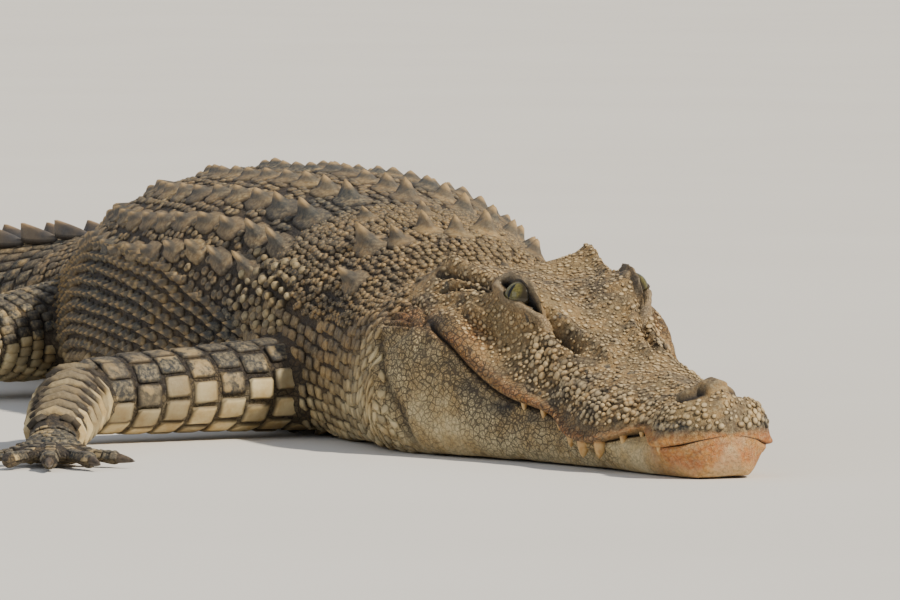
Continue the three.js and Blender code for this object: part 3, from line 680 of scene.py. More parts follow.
def limb_segments(name):
    """The tubes of one leg by name: upper, lower, sole and toe_1 onwards from the inner side."""
    kind, side, middle, end, palm = POSES[name]
    at = limb_place(kind["station"], side)
    root, middle, end, palm = at(*kind["root"]), at(*middle), at(*end), at(*palm)
    way = (palm - end) * [1, 1, 0]
    way /= np.linalg.norm(way)
    across = np.cross([0, 0, 1], way) * side
    heel = end * [1, 1, 0] + [0, 0, kind["heel_up"] * HEAD]
    ball = end * [1, 1, 0] + way * kind["ball"][0] * HEAD + [0, 0, kind["ball"][1] * HEAD]
    tubes = {
        "upper": Segment(root, middle, *kind["upper"], LIMB_COAT),
        "lower": Segment(middle, end, *kind["lower"], LIMB_COAT),
        "sole": Segment(heel, ball, *kind["sole"], TOE_COAT),
    }
    thick = curve((0, kind["toe"] * 1.15), (0.6, kind["toe"]), (1, kind["toe"] * 0.75))
    knuckle = heel + (ball - heel) * 0.75
    for i, (turn, length) in enumerate(zip(kind["turns"], kind["lengths"])):
        tip = end * [1, 1, 0] + (way * math.cos(turn) + across * math.sin(turn)) * length * HEAD
        tip[2] = kind["toe_up"] * HEAD
        tubes[f"toe_{i + 1}"] = Segment(knuckle, tip, thick, thick, TOE_COAT)
    return tubes


legs = {name: limb_segments(name) for name in POSES}
print("the legs have", sum(len(tubes) for tubes in legs.values()), "tubes")

# %% [markdown]
# ## One skin
# The Boolean modifier welds closed tubes to one mesh with no seam inside. Where a leg meets the trunk it
# leaves a sharp line, so the places near each new line are drawn towards their neighbours a few times,
# which rounds it into a fold of skin. Everything else keeps its place.

# %% Weld the tubes
def weld(body, *others):
    """Unites the other objects with the body, one by one, and deletes them."""
    for other in others:
        union = body.modifiers.new("weld", "BOOLEAN")
        union.operation = "UNION"
        union.solver = "MANIFOLD"
        union.object = other
        mesh = bpy.data.meshes.new_from_object(body.evaluated_get(bpy.context.evaluated_depsgraph_get()))
        body.modifiers.clear()
        old = body.data
        body.data = mesh
        bpy.data.meshes.remove(old)
        bpy.data.objects.remove(other)
    return body


def positions(mesh):
    points = np.empty(len(mesh.vertices) * 3, np.float32)
    mesh.vertices.foreach_get("co", points)
    return points.reshape(-1, 3).astype(float)


tube_points = [positions(body_mesh)]


def build_leg(name):
    fine = {"upper": (44, 40), "lower": (36, 34), "sole": (24, 18)}
    parts = []
    for part, tube in legs[name].items():
        sides, rings = fine.get(part, (14, 18))
        parts.append(new_object(f"{name}_{part}", tube.mesh(part, sides, rings)))
        tube_points.append(positions(parts[-1].data))
    return weld(*parts)


hide = new_object("hide", body_mesh)
weld(hide, *[build_leg(name) for name in POSES])
hide.data.name = "hide"
print("the welded skin has", len(hide.data.vertices), "points")


# %% Round the new folds
def edges_of(mesh):
    pairs = np.empty(len(mesh.edges) * 2, np.int32)
    mesh.edges.foreach_get("vertices", pairs)
    return pairs.reshape(-1, 2)


def tree_of(points):
    tree = KDTree(len(points))
    for i, point in enumerate(points):
        tree.insert(point, i)
    tree.balance()
    return tree


def neighbour_mean(points, pairs):
    total = np.zeros_like(points)
    count = np.zeros(len(points))
    for a, b in ((0, 1), (1, 0)):
        for axis in range(points.shape[1]):
            total[:, axis] += np.bincount(pairs[:, a], points[pairs[:, b], axis], len(points))
        count += np.bincount(pairs[:, a], minlength=len(points))
    return total / np.maximum(count, 1)[:, None]


def soften_folds(mesh, sources, reach=0.045, rounds=30):
    """Smooths the mesh near the lines where tubes met, which are the points that no tube had before."""
    points = positions(mesh)
    known = tree_of(sources)
    new = np.array([known.find(point)[2] > 1e-5 for point in points])
    seam = tree_of(points[new])
    distance = np.array([seam.find(point)[2] for point in points])
    strength = (1 - ramp(distance, reach * 0.3, reach))[:, None]
    pairs = edges_of(mesh)
    for _ in range(rounds):
        points += (neighbour_mean(points, pairs) - points) * strength * 0.6
    points[:, 2] = np.maximum(points[:, 2], FLOOR_GAP)
    mesh.vertices.foreach_set("co", points.astype(np.float32).reshape(-1))
    mesh.update()
    return int(new.sum())


seam_points = soften_folds(hide.data, np.concatenate(tube_points))
print("smoothed the skin along", seam_points, "new points")

# %% [markdown]
# ## A map of the skin
# Scales have a size in millimetres, so they need a map that is measured in real lengths and not in shares.
# Sheet lays a net over the skin, with stations one way and the distance from the middle of the back the
# other way. Anything can then be put on the skin, turned and bent along it, by looking up places and
# normals in this net.

# %% The net over head, neck, trunk and tail
class Sheet:
    """The body's skin as a net. u is the station, and v the way in metres from the back, + to the left."""

    def __init__(self, stations, reach, step=0.003):
        self.stations = stations
        shares = spread(0, 1, 181, share_density)
        grid = skin_points(stations, around_of(shares))
        grid = np.concatenate([grid, grid_normals(grid)], axis=-1)
        half = len(shares)
        self.step = step
        self.reach = reach
        self.v = np.arange(-round(reach / step), round(reach / step) + 1) * step
        self.net = np.full((len(stations), len(self.v), 7), np.nan)  # point, normal and signed share
        self.girth = np.zeros((len(stations), 2))
        right = np.arange(half)
        left = np.concatenate([[0], np.arange(grid.shape[1] - 1, half - 2, -1)])
        for row in range(len(stations)):
            for which, columns in enumerate((right, left)):
                side = (RIGHT, LEFT)[which]
                line = grid[row, columns]
                way = np.concatenate([[0], np.cumsum(np.linalg.norm(np.diff(line[:, :3], axis=0), axis=1))])
                self.girth[row, which] = way[-1]
                here = (self.v * side >= 0) & (self.v * side <= way[-1])
                at = self.v[here] * side
                for column in range(6):
                    self.net[row, here, column] = np.interp(at, way, line[:, column])
                self.net[row, here, 6] = np.interp(at, way, shares) * side

    def half_girth(self, u, side):
        return np.interp(u, self.stations, self.girth[:, 0 if side == RIGHT else 1])

    def way_to(self, u, share):
        """The v of a signed share at a station, which is how far along the skin it lies."""
        row = np.interp(u, self.stations, np.arange(len(self.stations)))
        line = self.net[int(round(float(row))), :, 6]
        known = ~np.isnan(line)
        return float(np.interp(share, line[known], self.v[known]))

    def shift(self, u, v, ahead, across):
        """Moves a place by metres towards the head and to the left."""
        return u - ahead / HEAD, v + across

    def look_up(self, u, v):
        """The values between the four knots of the net round each place."""
        i = np.interp(u, self.stations, np.arange(len(self.stations)))
        j = (v + self.reach) / self.step
        i0 = np.clip(np.floor(i).astype(int), 0, self.net.shape[0] - 2)
        j0 = np.clip(np.floor(j).astype(int), 0, self.net.shape[1] - 2)
        fi = np.clip(i - i0, 0, 1)[..., None]
        fj = np.clip(j - j0, 0, 1)[..., None]
        low = self.net[i0, j0] * (1 - fj) + self.net[i0, j0 + 1] * fj
        high = self.net[i0 + 1, j0] * (1 - fj) + self.net[i0 + 1, j0 + 1] * fj
        return low * (1 - fi) + high * fi

    def place(self, u, v):
        """Points and unit normals of the skin. They are nan beyond the belly's middle."""
        values = self.look_up(u, v)
        normal = values[..., 3:6]
        return values[..., :3], normal / np.linalg.norm(normal, axis=-1, keepdims=True)

    def share_at(self, u, v):
        return self.look_up(u, v)[..., 6]

    def bake_place(self, u, v):
        return u / TAIL_TIP, 0.5 + 0.5 * v / self.reach


body_sheet = Sheet(np.arange(0.9, 7.1, 0.008), 0.72)
head_sheet = Sheet(np.arange(0.0, 1.2, 0.004), 0.45, 0.002)
print("half way round the trunk:", round(float(body_sheet.half_girth(2.4, LEFT)), 3), "m")


# %% The net over one segment of a leg
class LegSheet:
    """A leg segment as a net. u is the share of the way along it, and v the turn round it."""

    def __init__(self, segment):
        self.segment = segment

    def shift(self, u, v, ahead, across):
        flat, tall = self.segment.flat(u) * HEAD, self.segment.tall(u) * HEAD
        girth = math.pi * (flat + tall)
        return u - ahead / self.segment.length, v + across / girth

    def place(self, u, v):
        tube = self.segment
        point = tube.point(u, v)
        ahead = tube.point(np.minimum(u + 0.01, 1), v) - tube.point(np.maximum(u - 0.01, 0), v)
        across = tube.point(u, v + 0.01) - tube.point(u, v - 0.01)
        normal = np.cross(across, ahead)
        normal /= np.maximum(np.linalg.norm(normal, axis=-1, keepdims=True), 1e-9)
        return point, normal

    def share_at(self, u, v):
        return u * 0 + 0.4

    def bake_place(self, u, v):
        return u, v % 1


arm_place = LegSheet(legs["foreleg_right"]["upper"]).place(np.array(0.5), np.array(0.25))
print("a place on the upper arm and its normal:", *[value.round(2) for value in arm_place])

# %% [markdown]
# ## Paint: hide, horn and eyes
# Every finish is worked out by nodes. What changes from place to place on the animal, such as the pale
# belly or the orange stain of river mud on the snout, is stored on the mesh as attributes. What is the same
# all over, such as cracks and dust, comes from patterns in space. Skin and scales read the same patterns,
# so that the markings run on from one to the other.

# %% Small helpers to build node trees
def shade(code):
    """A colour as linear values, from its six hex digits."""
    parts = [int(code[i:i + 2], 16) / 255 for i in (0, 2, 4)]
    return tuple(p / 12.92 if p <= 0.04045 else ((p + 0.055) / 1.055) ** 2.4 for p in parts) + (1.0,)


class Paint:
    """Adds nodes to a tree. Its effects return the output socket of what they made."""

    def __init__(self, tree):
        self.tree = tree

    def node(self, kind, inputs=None, **settings):
        """A new node with its settings, and its inputs as values or as outputs of other nodes."""
        made = self.tree.nodes.new(kind)
        for name, value in settings.items():
            setattr(made, name, value)
        for name, value in (inputs or {}).items():
            self.feed(made.inputs[name], value)
        return made

    def feed(self, socket, value):
        if isinstance(value, bpy.types.NodeSocket):
            self.tree.links.new(value, socket)
        else:
            socket.default_value = value

    def place(self):
        return self.node("ShaderNodeTexCoord").outputs["Object"]

    def attribute(self, name):
        return self.node("ShaderNodeAttribute", attribute_name=name).outputs["Fac"]

    def math(self, operation, a, b, clamp=False):
        return self.node("ShaderNodeMath", {0: a, 1: b}, operation=operation, use_clamp=clamp).outputs[0]

    def between(self, value, low, high, out_low=0.0, out_high=1.0):
        inputs = {"Value": value, "From Min": low, "From Max": high, "To Min": out_low, "To Max": out_high}
        return self.node("ShaderNodeMapRange", inputs, interpolation_type="SMOOTHSTEP").outputs["Result"]

    def mix(self, share, a, b):
        """Mixes two colours. Sockets 6 and 7 take them, and output 2 gives the result."""
        return self.node("ShaderNodeMix", {0: share, 6: a, 7: b}, data_type="RGBA").outputs[2]

    def tint(self, below, code, value, low, high, most=1.0, least=0.0):
        """Lays a colour over the one below, where a value rises from low to high."""
        return self.mix(self.between(value, low, high, least, most), below, shade(code))

    def clouds(self, scale, detail=4.0, rough=0.55):
        inputs = {"Vector": self.place(), "Scale": scale, "Detail": detail, "Roughness": rough}
        return self.node("ShaderNodeTexNoise", inputs).outputs["Fac"]

    def group(self, tree, **values):
        return self.node("ShaderNodeGroup", values, node_tree=tree).outputs


def effect(name, inputs, outputs):
    """An empty node group with named inputs (name, kind, value) and outputs (name, kind)."""
    tree = bpy.data.node_groups.new(name, "ShaderNodeTree")
    for label, kind, value in inputs:
        socket = tree.interface.new_socket(label, in_out="INPUT", socket_type=kind)
        socket.default_value = value
    for label, kind in outputs:
        tree.interface.new_socket(label, in_out="OUTPUT", socket_type=kind)
    return tree, tree.nodes.new("NodeGroupInput").outputs, tree.nodes.new("NodeGroupOutput").inputs


print("a warm stone colour:", [round(v, 2) for v in shade("b3a077")])


# %% Effects that several finishes share
NUMBER, COLOUR = "NodeSocketFloat", "NodeSocketColor"


def build_cracks():
    """Fine cracks between skin cells: a mask that is 1 in the crack, and a height that dips there."""
    tree, given, result = effect(
        "fine cracks",
        [("Scale", NUMBER, 150.0), ("Width", NUMBER, 0.08)],
        [("Crack", NUMBER), ("Height", NUMBER)])
    paint = Paint(tree)
    waves = paint.node("ShaderNodeTexNoise", {"Vector": paint.place(), "Scale": 60.0}).outputs["Color"]
    bent = paint.node("ShaderNodeVectorMath", {0: waves, 1: (0.006, 0.006, 0.006), 2: paint.place()},
                      operation="MULTIPLY_ADD").outputs[0]
    cells = paint.node("ShaderNodeTexVoronoi", {"Scale": given["Scale"]}, feature="DISTANCE_TO_EDGE")
    paint.feed(cells.inputs["Vector"], bent)
    crack = paint.between(cells.outputs["Distance"], 0.0, given["Width"], 1.0, 0.0)
    paint.feed(result["Crack"], crack)
    paint.feed(result["Height"], paint.math("SUBTRACT", 1.0, crack))
    return tree


def build_markings():
    """The animal's colour, from dark back to pale belly, with blotches that over the back and flanks also
    carry painted shade. Skin and scales share it.
    """
    tree, given, result = effect(
        "markings",
        [("Pale", NUMBER, 0.0), ("Stain", NUMBER, 0.0), ("Dark", NUMBER, 0.0)],
        [("Color", COLOUR)])
    paint = Paint(tree)
    wide = paint.clouds(7.0, 3.0)
    close = paint.clouds(38.0, 5.0, 0.6)
    fine = paint.clouds(240.0, 3.0, 0.6)
    back = paint.tint(shade("584a37"), "8c7246", wide, 0.4, 0.6)
    back = paint.tint(back, "a58350", close, 0.42, 0.6)
    back = paint.tint(back, "3e3b37", close, 0.6, 0.68)
    pale = paint.tint(shade("c6a871"), "e2cf9f", close, 0.35, 0.65)
    colour = paint.mix(given["Pale"], back, pale)
    # Dark brings the blotches of the hide, and over the flanks painted shade as well
    blotch_and_shade = paint.math("MULTIPLY", given["Dark"], paint.between(close, 0.38, 0.5, 0.0, 1.5), clamp=True)
    colour = paint.mix(blotch_and_shade, colour, shade("262a2c"))
    stained = paint.tint(shade("c58436"), "b4601f", close, 0.4, 0.6)
    colour = paint.mix(paint.math("MULTIPLY", given["Stain"], 0.9), colour, stained)
    colour = paint.tint(colour, "d9c394", fine, 0.35, 0.75, 0.4)
    paint.feed(result["Color"], colour)
    return tree


cracks = build_cracks()
markings = build_markings()
print("shader groups:", cracks.name, "and", markings.name)


# %% The finishes
def finish_of(name, painter, bump_depth=0.001, specular=0.5):
    """A material with a Principled shader, fed with the colour, height and roughness of its painter."""
    material = bpy.data.materials.new(name)
    material.use_nodes = True
    shader = material.node_tree.nodes["Principled BSDF"]
    paint = Paint(material.node_tree)
    colour, height, rough = painter(paint)
    paint.feed(shader.inputs["Base Color"], colour)
    paint.feed(shader.inputs["Roughness"], rough)
    shader.inputs["Specular IOR Level"].default_value = specular
    if height is not None:
        relief = paint.node("ShaderNodeBump", {"Strength": 1.0, "Distance": bump_depth, "Height": height})
        paint.feed(shader.inputs["Normal"], relief.outputs["Normal"])
    return material


def own_colour(paint):
    """The animal's colour at each place, from the marks stored there; the dark mark also carries painted
    shade of the flanks.
    """
    marks = {label: paint.attribute(label.lower()) for label in ("Pale", "Stain", "Dark")}
    return paint.group(markings, **marks)["Color"]


def paint_skin(paint):
    base = own_colour(paint)
    net = paint.group(cracks, Scale=380.0, Width=0.16)
    coarse = paint.group(cracks, Scale=150.0, Width=0.13)
    amount = paint.attribute("crack")
    line = paint.math("MULTIPLY", net["Crack"], amount)
    deep = paint.math("MULTIPLY", coarse["Crack"], paint.math("MULTIPLY", amount, 1.9), clamp=True)
    lines = paint.math("MAXIMUM", line, deep)
    colour = paint.mix(paint.math("MULTIPLY", lines, 0.85), base, shade("33261a"))
    # painted shade: the gap mark darkens the skin between scales and lumps, and in the head's slits and
    # folds
    colour = paint.mix(paint.attribute("gap"), colour, shade("251d17"))
    grain = paint.clouds(900.0, 3.0)
    grit = paint.clouds(260.0, 5.0, 0.7)
    colour = paint.tint(colour, "43382b", grit, 0.5, 0.62, 0.35)
    height = paint.math("SUBTRACT", paint.math("ADD", grain, paint.math("MULTIPLY", grit, 1.6)), lines)
    return colour, height, paint.between(grain, 0.3, 0.7, 0.55, 0.8)


def paint_scale(paint):
    base = own_colour(paint)
    edge = paint.attribute("edge")
    tone = paint.attribute("tone")
    colour = paint.tint(base, "544a3c", tone, 0.0, 1.0, 0.5)
    # painted shade at the foot of each scale, where it meets the skin
    colour = paint.tint(colour, "241d17", edge, 0.66, 1.0, 0.9)
    ridge = paint.attribute("ridge")
    # painted shade on the sides of the keels, and a painted highlight along their crests
    colour = paint.tint(colour, "42433f", ridge, 0.02, 0.25, 0.6)
    colour = paint.tint(colour, "c9a670", ridge, 0.4, 0.85, 0.8)
    grain = paint.clouds(700.0, 4.0, 0.65)
    fine = paint.group(cracks, Scale=420.0, Width=0.12)
    cells = paint.math("MULTIPLY", fine["Height"], 0.4)
    height = paint.math("ADD", paint.math("MULTIPLY", grain, 0.6), cells)
    return colour, height, paint.between(grain, 0.3, 0.7, 0.5, 0.75)


def paint_lump(paint):
    """Lumps of the head have the skin's own colour, with a painted highlight on top and painted shade at the
    foot.
    """
    base = own_colour(paint)
    tone = paint.attribute("tone")
    colour = paint.tint(base, "c2ab80", tone, 0.2, 0.9, 0.6)
    colour = paint.tint(colour, "d0bc94", paint.attribute("edge"), 0.0, 0.7, 0.0, 0.4)
    colour = paint.tint(colour, "30261d", paint.attribute("edge"), 0.6, 1.0, 0.85)
    grain = paint.clouds(800.0, 4.0, 0.65)
    return colour, grain, paint.between(grain, 0.3, 0.7, 0.5, 0.75)


skin_finish = finish_of("hide", paint_skin, bump_depth=0.0012)
scale_finish = finish_of("scale", paint_scale, bump_depth=0.0006)
lump_finish = finish_of("lump", paint_lump, bump_depth=0.0005)


def paint_horn(paint):
    wide = paint.clouds(30.0, 5.0, 0.6)
    fine = paint.clouds(400.0, 4.0, 0.65)
    colour = paint.tint(shade("4d4a48"), "6d5f4d", wide, 0.35, 0.65)
    # painted highlight along the crest of each blade, and painted shade at its foot
    colour = paint.mix(paint.math("MULTIPLY", paint.attribute("ridge"), 0.7), colour, shade("b59468"))
    colour = paint.tint(colour, "2e2822", paint.attribute("edge"), 0.8, 1.0, 0.7)
    return colour, fine, paint.between(fine, 0.3, 0.7, 0.4, 0.65)


def paint_tooth(paint):
    fine = paint.clouds(120.0, 4.0)
    colour = paint.tint(shade("ad7f42"), "d1b077", fine, 0.3, 0.7)
    colour = paint.mix(paint.math("MULTIPLY", paint.attribute("root"), 0.9), colour, shade("7d4a20"))
    return colour, fine, paint.between(fine, 0.3, 0.7, 0.3, 0.5)


def paint_claw(paint):
    fine = paint.clouds(200.0, 4.0)
    colour = paint.tint(shade("3a3127"), "5f5140", fine, 0.3, 0.7)
    return colour, fine, paint.between(fine, 0.3, 0.7, 0.35, 0.55)


horn_finish = finish_of("horn", paint_horn, bump_depth=0.0005)
tooth_finish = finish_of("tooth", paint_tooth, bump_depth=0.0003)
claw_finish = finish_of("claw", paint_claw, bump_depth=0.0003)
finishes = (skin_finish, scale_finish, lump_finish, horn_finish, tooth_finish, claw_finish)
print("finishes:", [finish.name for finish in finishes])

# %% [markdown]
# ## Markings on the mesh
# The belly, the jowl and the inner sides of the legs are pale, and the snout tip is stained orange. Where
# that is depends on the place along and round the body, so each point of skin and scale gets these shares
# by the same function.

# %% Where it is pale, stained and dark
def marks_at(station, share, points):
    """Shares of pale, stain, dark and crack for places on head and body."""
    s, a = station, np.abs(share)
    ragged = 0.05 * noise(points, 0.05, 11)
    head = 1 - ramp(s, 0.95, 1.15)
    pale_head = ramp(a + ragged, 0.5, 0.62)
    pale_body = ramp(a + ragged, 0.52, 0.78)
    pale = pale_head * head + pale_body * (1 - head)
    lip = bump(a - 0.53, 0.03) * ramp(s, 0.02, 0.08) * (1 - ramp(s, 0.78, 0.88))
    stain = 0.75 * lip + ramp(a, 0.46, 0.56) * (1 - ramp(s, 0.08, 0.2)) * (1 - 0.5 * ramp(a, 0.75, 0.9))
    stain += 0.45 * bump(s - 0.76, 0.05) * bump(a - 0.44, 0.035)
    stain += 0.6 * bump(s - 0.94, 0.07) * bump(a - 0.5, 0.055)
    stain = np.clip(stain * (1 + 0.5 * noise(points, 0.02, 12)), 0, 1)
    dark = 0.8 * bump(s - 0.63, 0.13) * bump(a - 0.6, 0.04) * (0.75 + 0.5 * noise(points, 0.012, 19))
    dark += 0.85 * bump(s - 0.06, 0.06) * bump(a - 0.45, 0.05)
    patches = ramp(noise(points, 0.09, 15), -0.1, 0.5)
    # dark blotches of the hide over the back and flanks, made stronger as painted shade of the flanks
    dark += ramp(s, 1.3, 1.7) * (1 - ramp(a, 0.45, 0.7)) * (0.25 + 0.6 * patches)
    crack = 0.35 + 0.2 * ramp(a, 0.35, 0.5) * head - 0.25 * ramp(a, 0.72, 0.85) * head + 0.3 * (1 - head)
    jowl = 0.8 * bump(s - 0.94, 0.1) * bump(a - 0.52, 0.1)
    crack += 0.8 * bump(s - 0.65, 0.2) * bump(a - 0.6, 0.08) + jowl
    crack *= (0.8 + 0.4 * noise(points, 0.03, 16)) * (0.3 + 0.7 * ramp(s, 0.16, 0.32))
    return pale, stain, np.clip(dark, 0, 1), np.clip(crack, 0, 1)


def leg_marks(points, normals):
    """The same shares on a leg, which is pale below and blotched above."""
    up = normals[..., 2]
    pale = 1 - 0.5 * ramp(up + 0.3 * noise(points, 0.05, 13), 0.1, 0.8)
    dark = ramp(up + 0.6 * noise(points, 0.05, 14), 0.1, 0.35)
    return pale, 0 * pale, dark, 0 * pale + 0.5


def mark_skin(mesh):
    """Finds each point's station and share from the nearest place of the body's tube, and marks it."""
    points = positions(mesh)
    fine = around_of(head_shares)
    coarse = around_of(head_shares[::2])
    station = np.concatenate([np.repeat(head_stations, len(fine)), np.repeat(body_stations, len(coarse))])
    around = np.concatenate([np.tile(fine, len(head_stations)), np.tile(coarse, len(body_stations))])
    share = 1 - np.abs(1 - 2 * around)
    tree = tree_of(tube_points[0][: len(station)])
    found = [tree.find(point) for point in points]
    nearest = np.array([f[1] for f in found])
    station, share = station[nearest], share[nearest]
    away = np.array([f[2] for f in found])
    normals = np.empty(len(points) * 3, np.float32)
    mesh.vertex_normals.foreach_get("vector", normals)
    body = marks_at(station, share, points)
    leg = leg_marks(points, normals.reshape(-1, 3))
    on_leg = ramp(away, 0.012, 0.05)
    pale, stain, dark, crack = (b + (l - b) * on_leg for b, l in zip(body, leg))
    # painted shade on the skin between the scales, behind the head and on the legs
    scale_gap_shade = np.maximum(ramp(station, 1.05, 1.3), on_leg) * 0.75
    # painted shade on the skin between the lumps on the sides of the snout
    rough = 0.45 * bump(share - 0.33, 0.14) * ramp(station, 0.14, 0.3)
    rough *= 1 - ramp(station, 0.6, 0.7)
    # painted shade in the slits and deep folds of the head
    fold_shade = head_shadows(station, share) * (station < 1.06)
    gap = np.maximum(np.maximum(scale_gap_shade, rough), fold_shade)  # painted shade on the skin between scales and lumps, and in the slits and folds of the head
    store(mesh, pale=pale, stain=stain, dark=dark, crack=crack, gap=gap)
    return len(points)


marked = mark_skin(hide.data)
hide.data.materials.clear()
hide.data.materials.append(skin_finish)
hide.data.polygons.foreach_set("material_index", np.zeros(len(hide.data.polygons), np.int32))
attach(hide, "root")
print("marked", marked, "points of the skin")

# %% [markdown]
# ## Scales by the thousand
# A scale is one small solid: a rim that is sunk in the skin, a steep edge, and a crown that may carry a
# keel. The pattern of its points is the same for all, and NumPy bends a copy of it over the skin at each
# place. That keeps a flat scale flat on the back and lets a plate on an arm curve round it, which a rigid
# copy can't do.

# %% The pattern of a scale, and copies of it bent over the skin
skin_tree = BVHTree.FromObject(hide, bpy.context.evaluated_depsgraph_get())
SEARCH = 0.05  # metres round a place in which its scale looks for the skin
LOWEST = 0.0002  # metres above the floor that every scale keeps
PATCH = 0.0015  # half the width of one scale on the map for the bake
KEEL_ROWS = (-1, -0.84, -0.4, 0.1, 0.55, 0.86, 1)


def plate_pattern(columns, rows=KEEL_ROWS, round_=0.55, sharp=0.3):
    """Points (ahead, across, crown, keel) of a plate, and its faces with the bottom last."""
    x, y = np.meshgrid(rows, columns, indexing="ij")
    edge = np.maximum(np.abs(x), np.abs(y))
    crown = 1 - ramp(edge, 0.45, 1.0) * 0.35
    crown = np.where(edge >= 0.999, 0, crown)
    keel = bump(y, sharp) * (1 - ramp(x, -0.75, 0.9)) ** 1.3 * (edge < 0.999)
    a = x * (1 - round_ + round_ * np.sqrt(1 - y * y / 2))
    b = y * (1 - round_ + round_ * np.sqrt(1 - x * x / 2))
    points = np.stack([a, b, crown, keel], axis=-1).reshape(-1, 4)
    quads, rim = grid_faces(*x.shape)
    return points, [quads, rim[None]]


def lay_scales(sheet, u, v, length, width, height, pattern, seed, keel=0.0, turn=0.0, sunk=0.0012,
               uneven=0.05):
    """Bends a copy of the pattern over the sheet at each place (u, v), and returns their arrays."""
    shape, faces = pattern
    count = len(u)
    length, width, height, keel, turn = (
        np.broadcast_to(np.asarray(value, float), (count,))[:, None]
        for value in (length, width, height, keel, turn))
    rng = np.random.default_rng(seed)
    a = shape[None, :, 0] + rng.uniform(-uneven, uneven, (count, len(shape)))
    b = shape[None, :, 1] + rng.uniform(-uneven, uneven, (count, len(shape)))
    ahead, across = a * length / 2, b * width / 2
    forward = ahead * np.cos(turn) - across * np.sin(turn)
    sideways = ahead * np.sin(turn) + across * np.cos(turn)
    uu, vv = sheet.shift(u[:, None] + 0 * a, v[:, None] + 0 * a, forward, sideways)
    base, normal = sheet.place(uu, vv)
    crown, ridge = shape[None, :, 2], shape[None, :, 3]
    rise = np.where(crown > 0, height * crown * rng.uniform(0.85, 1.15, (count, 1)) + keel * ridge, -sunk)
    points = base + normal * rise[..., None]
    points[..., 2] = np.maximum(points[..., 2], LOWEST)
    centre, way = sheet.place(u, v)
    keel_highlight = np.clip((keel - 0.0045) / 0.002, 0, 1)  # only a high keel gets a painted highlight on its crest and painted shade on its sides
    # edge marks the foot of each scale for painted shade, and ridge the crest of its keel for a painted
    # highlight
    batch = {
        "points": points, "edge": np.maximum(np.abs(shape[:, 0]), np.abs(shape[:, 1]))[None, :] + 0 * a,
        "ridge": ridge * keel_highlight + 0 * a, "bake": np.stack(sheet.bake_place(u, v), -1),
        "tone": rng.random(count), "share": sheet.share_at(u, v), "u": u, "centre": centre, "normal": way,
    }
    good = ~np.isnan(points).any(axis=(1, 2))
    batch = {key: values[good] for key, values in batch.items()}
    return {**settle(batch), "faces": faces, "shape": shape, "on_leg": isinstance(sheet, LegSheet)}


def settle(batch, reach=0.016):
    """Moves scales onto the welded skin, and drops those inside a leg or the trunk or in a fold."""
    found = [skin_tree.find_nearest(centre, SEARCH) for centre in batch["centre"]]
    keep = np.array([f[0] is not None and f[3] <= reach and np.dot(f[1], way) > 0.75
                     for f, way in zip(found, batch["normal"])])
    move = np.array([f[0] if f[0] is not None else (0, 0, 0) for f in found]) - batch["centre"]
    batch["points"] = batch["points"] + move[:, None, :]
    batch["points"][..., 2] = np.maximum(batch["points"][..., 2], LOWEST)
    return {key: values[keep] for key, values in batch.items()}


def fill_square(places):
    """Stretches places on the map for the bake to fill its square, but for a thin margin."""
    low, high = places.min(axis=0), places.max(axis=0)
    return 0.01 + 0.98 * (places - low) / (high - low)


def store_bake_map(mesh, places):
    """Gives the mesh its map for the bake, from a place on it for each point."""
    corners = np.empty(len(mesh.loops), np.int32)
    mesh.loops.foreach_get("vertex_index", corners)
    layer = mesh.uv_layers.new(name="OFBake")
    layer.data.foreach_set("uv", places[corners].astype(np.float32).reshape(-1))


def coat_piece(name, batches, material, bake_map=True):
    """Joins batches of scales to one piece, with its marks and its map for the bake."""
    all_points, all_faces, bake, patch = [], {}, [], []
    marks = {label: [] for label in ("edge", "tone", "ridge", "pale", "stain", "dark")}
    first = 0
    for batch in batches:
        count, size = batch["points"].shape[:2]
        offset = first + np.arange(count)[:, None, None] * size
        for face in batch["faces"]:
            corners = face.shape[1]
            all_faces.setdefault(corners, []).append((offset + face[None]).reshape(-1, corners))
        all_points.append(batch["points"].reshape(-1, 3))
        if batch["on_leg"]:
            pale, stain, dark, _ = leg_marks(batch["centre"], batch["normal"])
            dark = dark * batch.get("blotches", 1.0)
        else:
            pale, stain, dark, _ = marks_at(batch["u"], batch["share"], batch["centre"])
        for label, values in (("tone", batch["tone"]), ("pale", pale), ("stain", stain), ("dark", dark)):
            marks[label].append(np.repeat(values, size))
        for label in ("edge", "ridge"):
            marks[label].append(batch[label].reshape(-1))
        bake.append(np.repeat(batch["bake"], size, axis=0))
        patch.append(np.tile(batch["shape"][:, :2] * PATCH, (count, 1)))
        first += count * size
    faces = [np.concatenate(group) for group in all_faces.values()]
    mesh = mesh_from(name, np.concatenate(all_points), faces)
    store(mesh, **{label: np.concatenate(values) for label, values in marks.items()})
    if bake_map:
        store_bake_map(mesh, fill_square(np.concatenate(bake)) + np.concatenate(patch))
    piece = new_object(name, mesh)
    mesh.materials.append(material)
    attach(piece, "root")
    print(f"{name}: {sum(len(b['tone']) for b in batches)} scales, {triangles_of(mesh)} triangles")


# %% [markdown]
# ## Small forms that stand on the skin
# Teeth, claws and the blades of the tail are each one form, seen many times in other sizes and directions.
# A Geometry Nodes tree seats a copy on each point of a list, turned and sized by the point's own
# attributes, and makes the copies real. One tree serves all of them.

